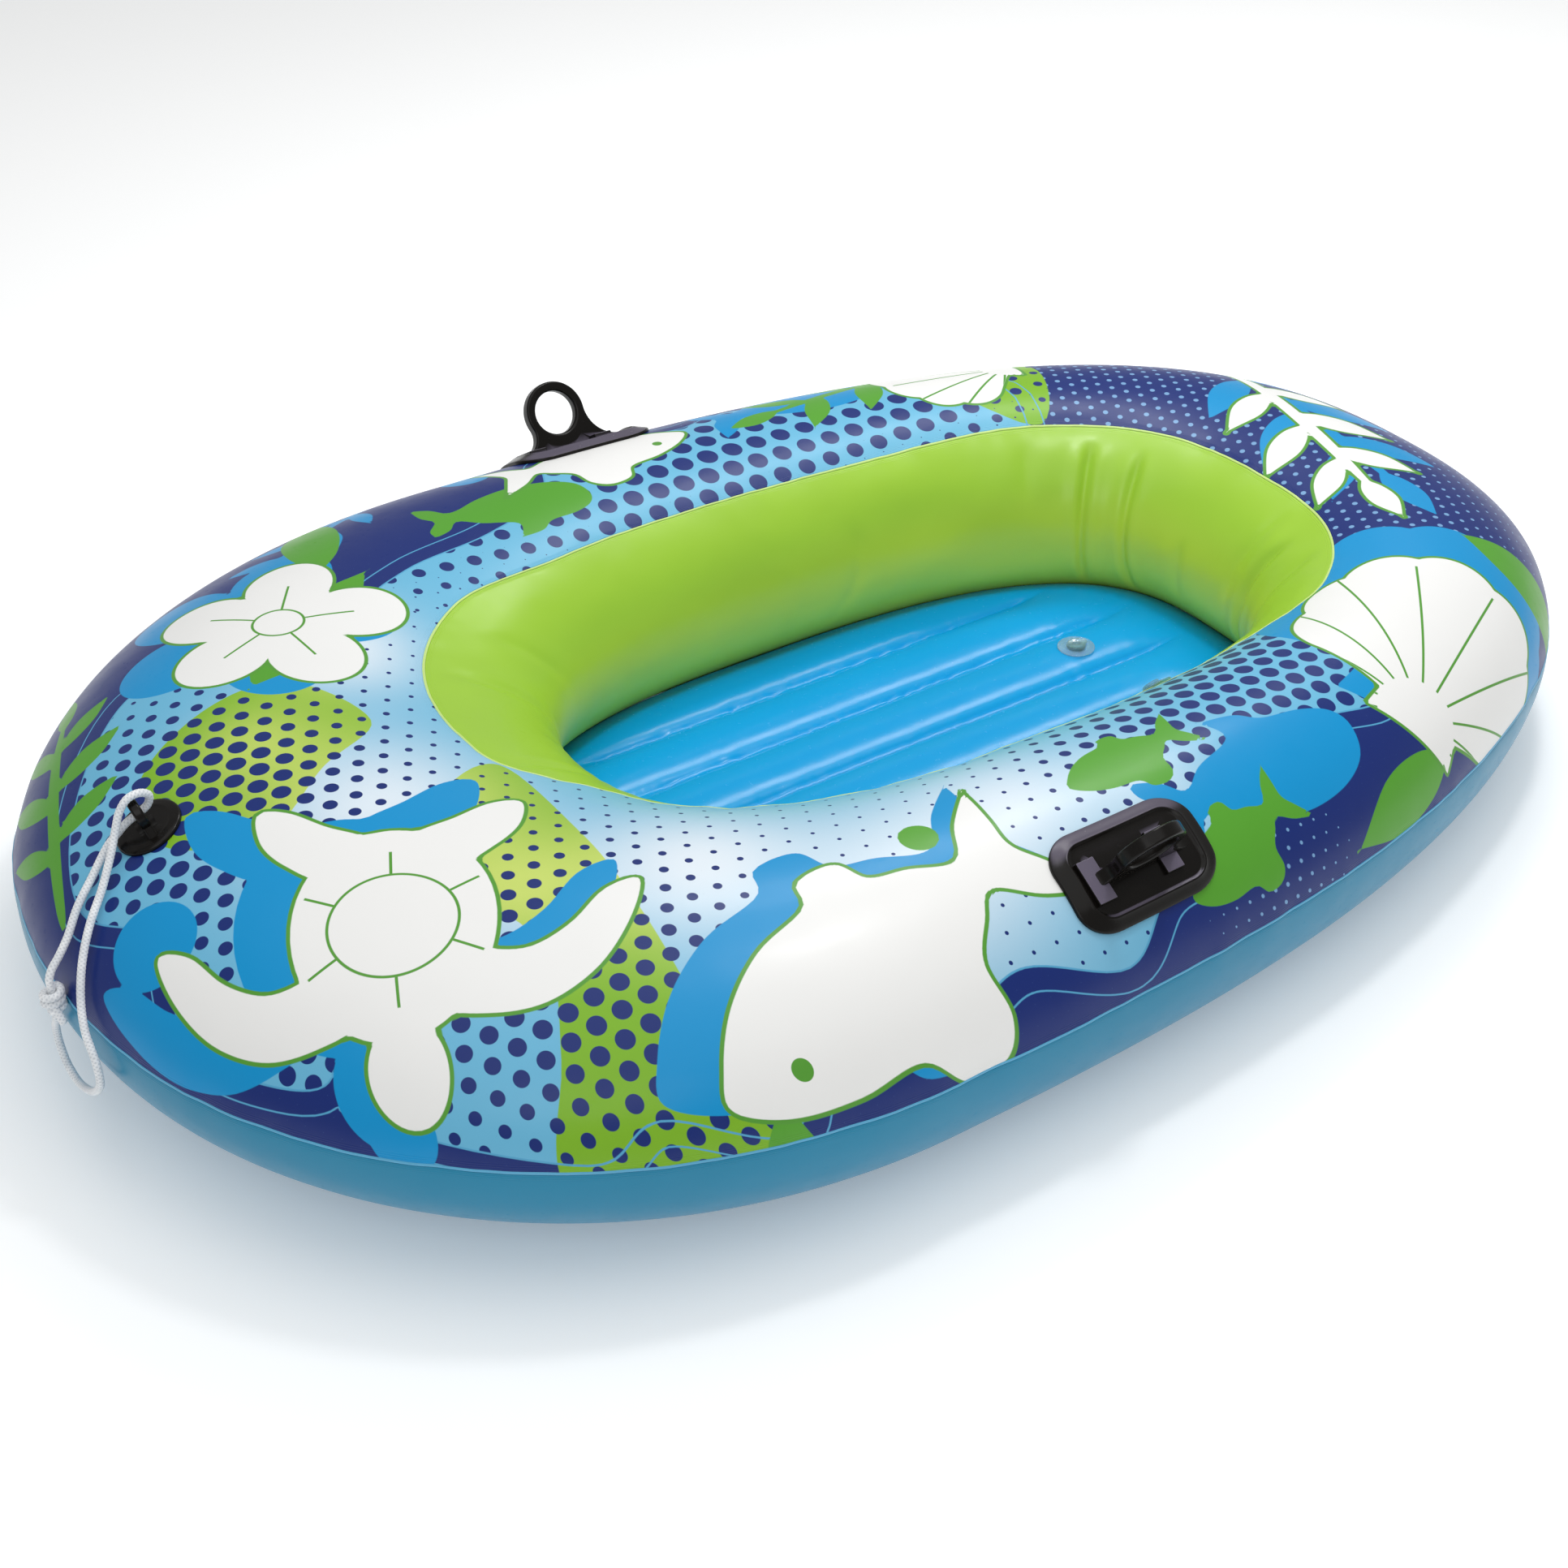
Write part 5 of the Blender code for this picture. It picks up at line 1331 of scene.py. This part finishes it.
# Push-in air valves: a collar welded to the hull, and a sliding stem, a cap on its strap and a flap, each on its own
# body
valve = {
    "flangeRadius": 0.017, "flangeThickness": 0.0012, "bore": 0.0070, "wall": 0.0010, "depth": 0.0060,
    "filmClearance": 0.0004, "stemClearance": 0.0002, "stemBore": 0.0045, "stemDepth": 0.0130, "lipRadius": 0.0088,
    "lipThickness": 0.0016, "capRadius": 0.0078, "capThickness": 0.0020, "plugRadius": 0.0036, "plugLength": 0.0030,
    "strapWidth": 0.0050, "strapThickness": 0.0010, "strapReach": 0.0028, "lugOverrun": 0.0012, "lugOverlap": 0.0006,
    "flapRadius": 0.0060, "flapThickness": 0.0006, "cutDepth": 0.012, "edgeRound": 0.0003, "smallRound": 0.00025,
    "flapRound": 0.00012,
}
# A thin raised ring on the flange: distance from the tube and height
valveRing = ((0.0045, 0.0), (0.0040, 0.00015), (0.0034, 0.00015), (0.0030, 0.0))
# A cap's section, in shares of its radius and height: the plug from its tip up, then the disc
plugSection = ((0.0, 1.0), (0.8, 1.0), (1.0, 0.5), (1.0, 0.0))
capSection = ((1.0, 0.0), (1.0, 0.6), (0.9, 1.0), (0.62, 1.0), (0.56, 0.8), (0.0, 0.8))


def addValve(name, node, place, film, rise):
    v, gap = valve, hull["gap"]

    def addPart(kind, shape):
        body = "hull" if kind == "collar" else f"{node}_{kind}"
        addPiece(name + kind.title(), shape, clearVinyl, body, f"{node}_{kind}", 35)

    under, half, outer = rise + gap, v["flangeThickness"] / 2, v["bore"] + v["wall"]
    top = under + v["flangeThickness"]
    edge = arc(v["flangeRadius"] - half, under + half, half, -pi / 2, pi / 2, 8)
    ring = [(outer + away, top + high) for away, high in valveRing]
    addPart("collar", moved(spun([(v["bore"], -v["depth"]), (outer, -v["depth"]), (outer, under), *edge, *ring,
                                  (v["bore"], top)]), place))
    reach, cut = outer + v["filmClearance"], -v["cutDepth"]
    cutHole(film, moved(spun([(0, cut), (reach, cut), (reach, top), (0, top)]), place))

    stemOuter, lipLow, hinge = v["bore"] - v["stemClearance"], top + gap, v["capRadius"] + v["strapReach"]
    lipTop, across = lipLow + v["lipThickness"], v["strapWidth"] / 2
    outline = [(v["stemBore"], -v["stemDepth"]), (stemOuter, -v["stemDepth"]), (stemOuter, lipLow),
               (v["lipRadius"], lipLow), (v["lipRadius"], lipTop), (v["stemBore"], lipTop)]
    lug = block((stemOuter - v["lugOverlap"], -across, lipLow), (hinge + v["lugOverrun"], across, lipTop))
    stem = joined(name + "Stem", [softened(spun(outline), v["edgeRound"], 2), softened(lug, v["smallRound"], 2)])
    stem.transform(place)
    addPart("stem", stem)

    seat = -v["strapThickness"] / 2
    plug, cap, tall = v["plugRadius"], v["capRadius"], v["capThickness"]
    outline = [(plug * share, seat - v["plugLength"] * low) for share, low in plugSection]
    outline += [(cap * share, seat + tall * high) for share, high in capSection]
    disc = moved(softened(spun(outline), v["smallRound"], 2), Matrix.Translation((-hinge, 0, 0)))
    strap = block((-v["strapReach"] - cap * 0.2, -across, seat), (0, across, -seat))
    data = joined(name + "Cap", [disc, softened(strap, v["smallRound"], 2)])
    data.transform(place @ Matrix.Translation((hinge, 0, lipTop + gap - seat)))
    addPart("cap", data)

    wide, thin = v["flapRadius"], v["flapThickness"]
    flap = softened(spun([(0, 0), (wide, 0), (wide, -thin), (0, -thin)]), v["flapRound"], 2)
    addPart("flap", moved(flap, place @ Matrix.Translation((0, 0, -v["stemDepth"] - gap))))


# How far a flat disc has to stand off the bulging film so that its rim clears it
def seatRise(turn, lean, radius):
    here = skin(np.array(turn), np.array(lean))
    along, around, out = tubeAxes(np.array(turn), np.array(lean))
    angles = np.arange(12) * tau / 12
    rim = skin(turn + radius * np.cos(angles) / np.linalg.norm(along),
               lean + radius * np.sin(angles) / np.linalg.norm(around))
    return max(0.0, float(((rim - here) @ out).max()))


hullValvePlace = (radians(105), radians(150))
addValve("hullValve", "hull_valve", skinFrame(*hullValvePlace), wall,
         seatRise(*hullValvePlace, valve["flangeRadius"]))
floorValvePlace = Matrix.Translation((-0.288, -ribPitch / 2, 0.047663)) @ Matrix.Rotation(pi, 4, "Z")
addValve("floorValve", "floor_valve", floorValvePlace, floorTop, hull["gap"])
print("valves laid")

# Plain pale floor and soft studio light
studio = {"floorSize": 16.0, "floor": colour(251, 252, 252), "floorLift": 0.20, "surround": colour(255, 255, 255),
          "surroundPower": 0.40, "floorRoughness": (0.75, 0.85)}
# Each light: place, where it points, size and power
studioLights = {"overhead": ((0.2, 0.3, 2.8), (0.1, 0.1, 0.1), (3.4, 3.4), 32.0),
                "front": ((1.7, 2.3, 2.4), (0.0, 0.0, 0.1), (2.0, 1.4), 16.0),
                "strip": ((-1.03, -0.72, 1.71), (-1.03, 0.0, 0.05), (1.3, 0.34), 12.0),
                "glint": ((-0.50, 0.10, 2.05), (-0.39, -0.15, 0.17), (0.30, 0.22), 8.0)}


def addStudio():
    floor = bmesh.new()
    bmesh.ops.create_grid(floor, x_segments=1, y_segments=1, size=studio["floorSize"] / 2)
    data = meshData("studioFloor", floor)
    material, tree, shader = newMaterial("studioFloor")
    patch = noise(objectPlace(tree), 3.0)
    feed(shader, {"Roughness": mapped(patch, 0.0, 1.0, *studio["floorRoughness"]), "Base Color": studio["floor"],
                  "Emission Color": studio["floor"], "Emission Strength": studio["floorLift"]})
    data.materials.append(material)
    placed("studioFloor", data)
    world = bpy.data.worlds.new("studio")
    world.use_nodes = True
    feed(world.node_tree.nodes["Background"], {"Color": studio["surround"], "Strength": studio["surroundPower"]})
    bpy.context.scene.world = world
    for name, (place, target, size, power) in studioLights.items():
        light = bpy.data.lights.new(name, "AREA")
        light.shape, light.energy = "RECTANGLE", power
        light.size, light.size_y = size
        aimed(name, light, place, target)


addStudio()
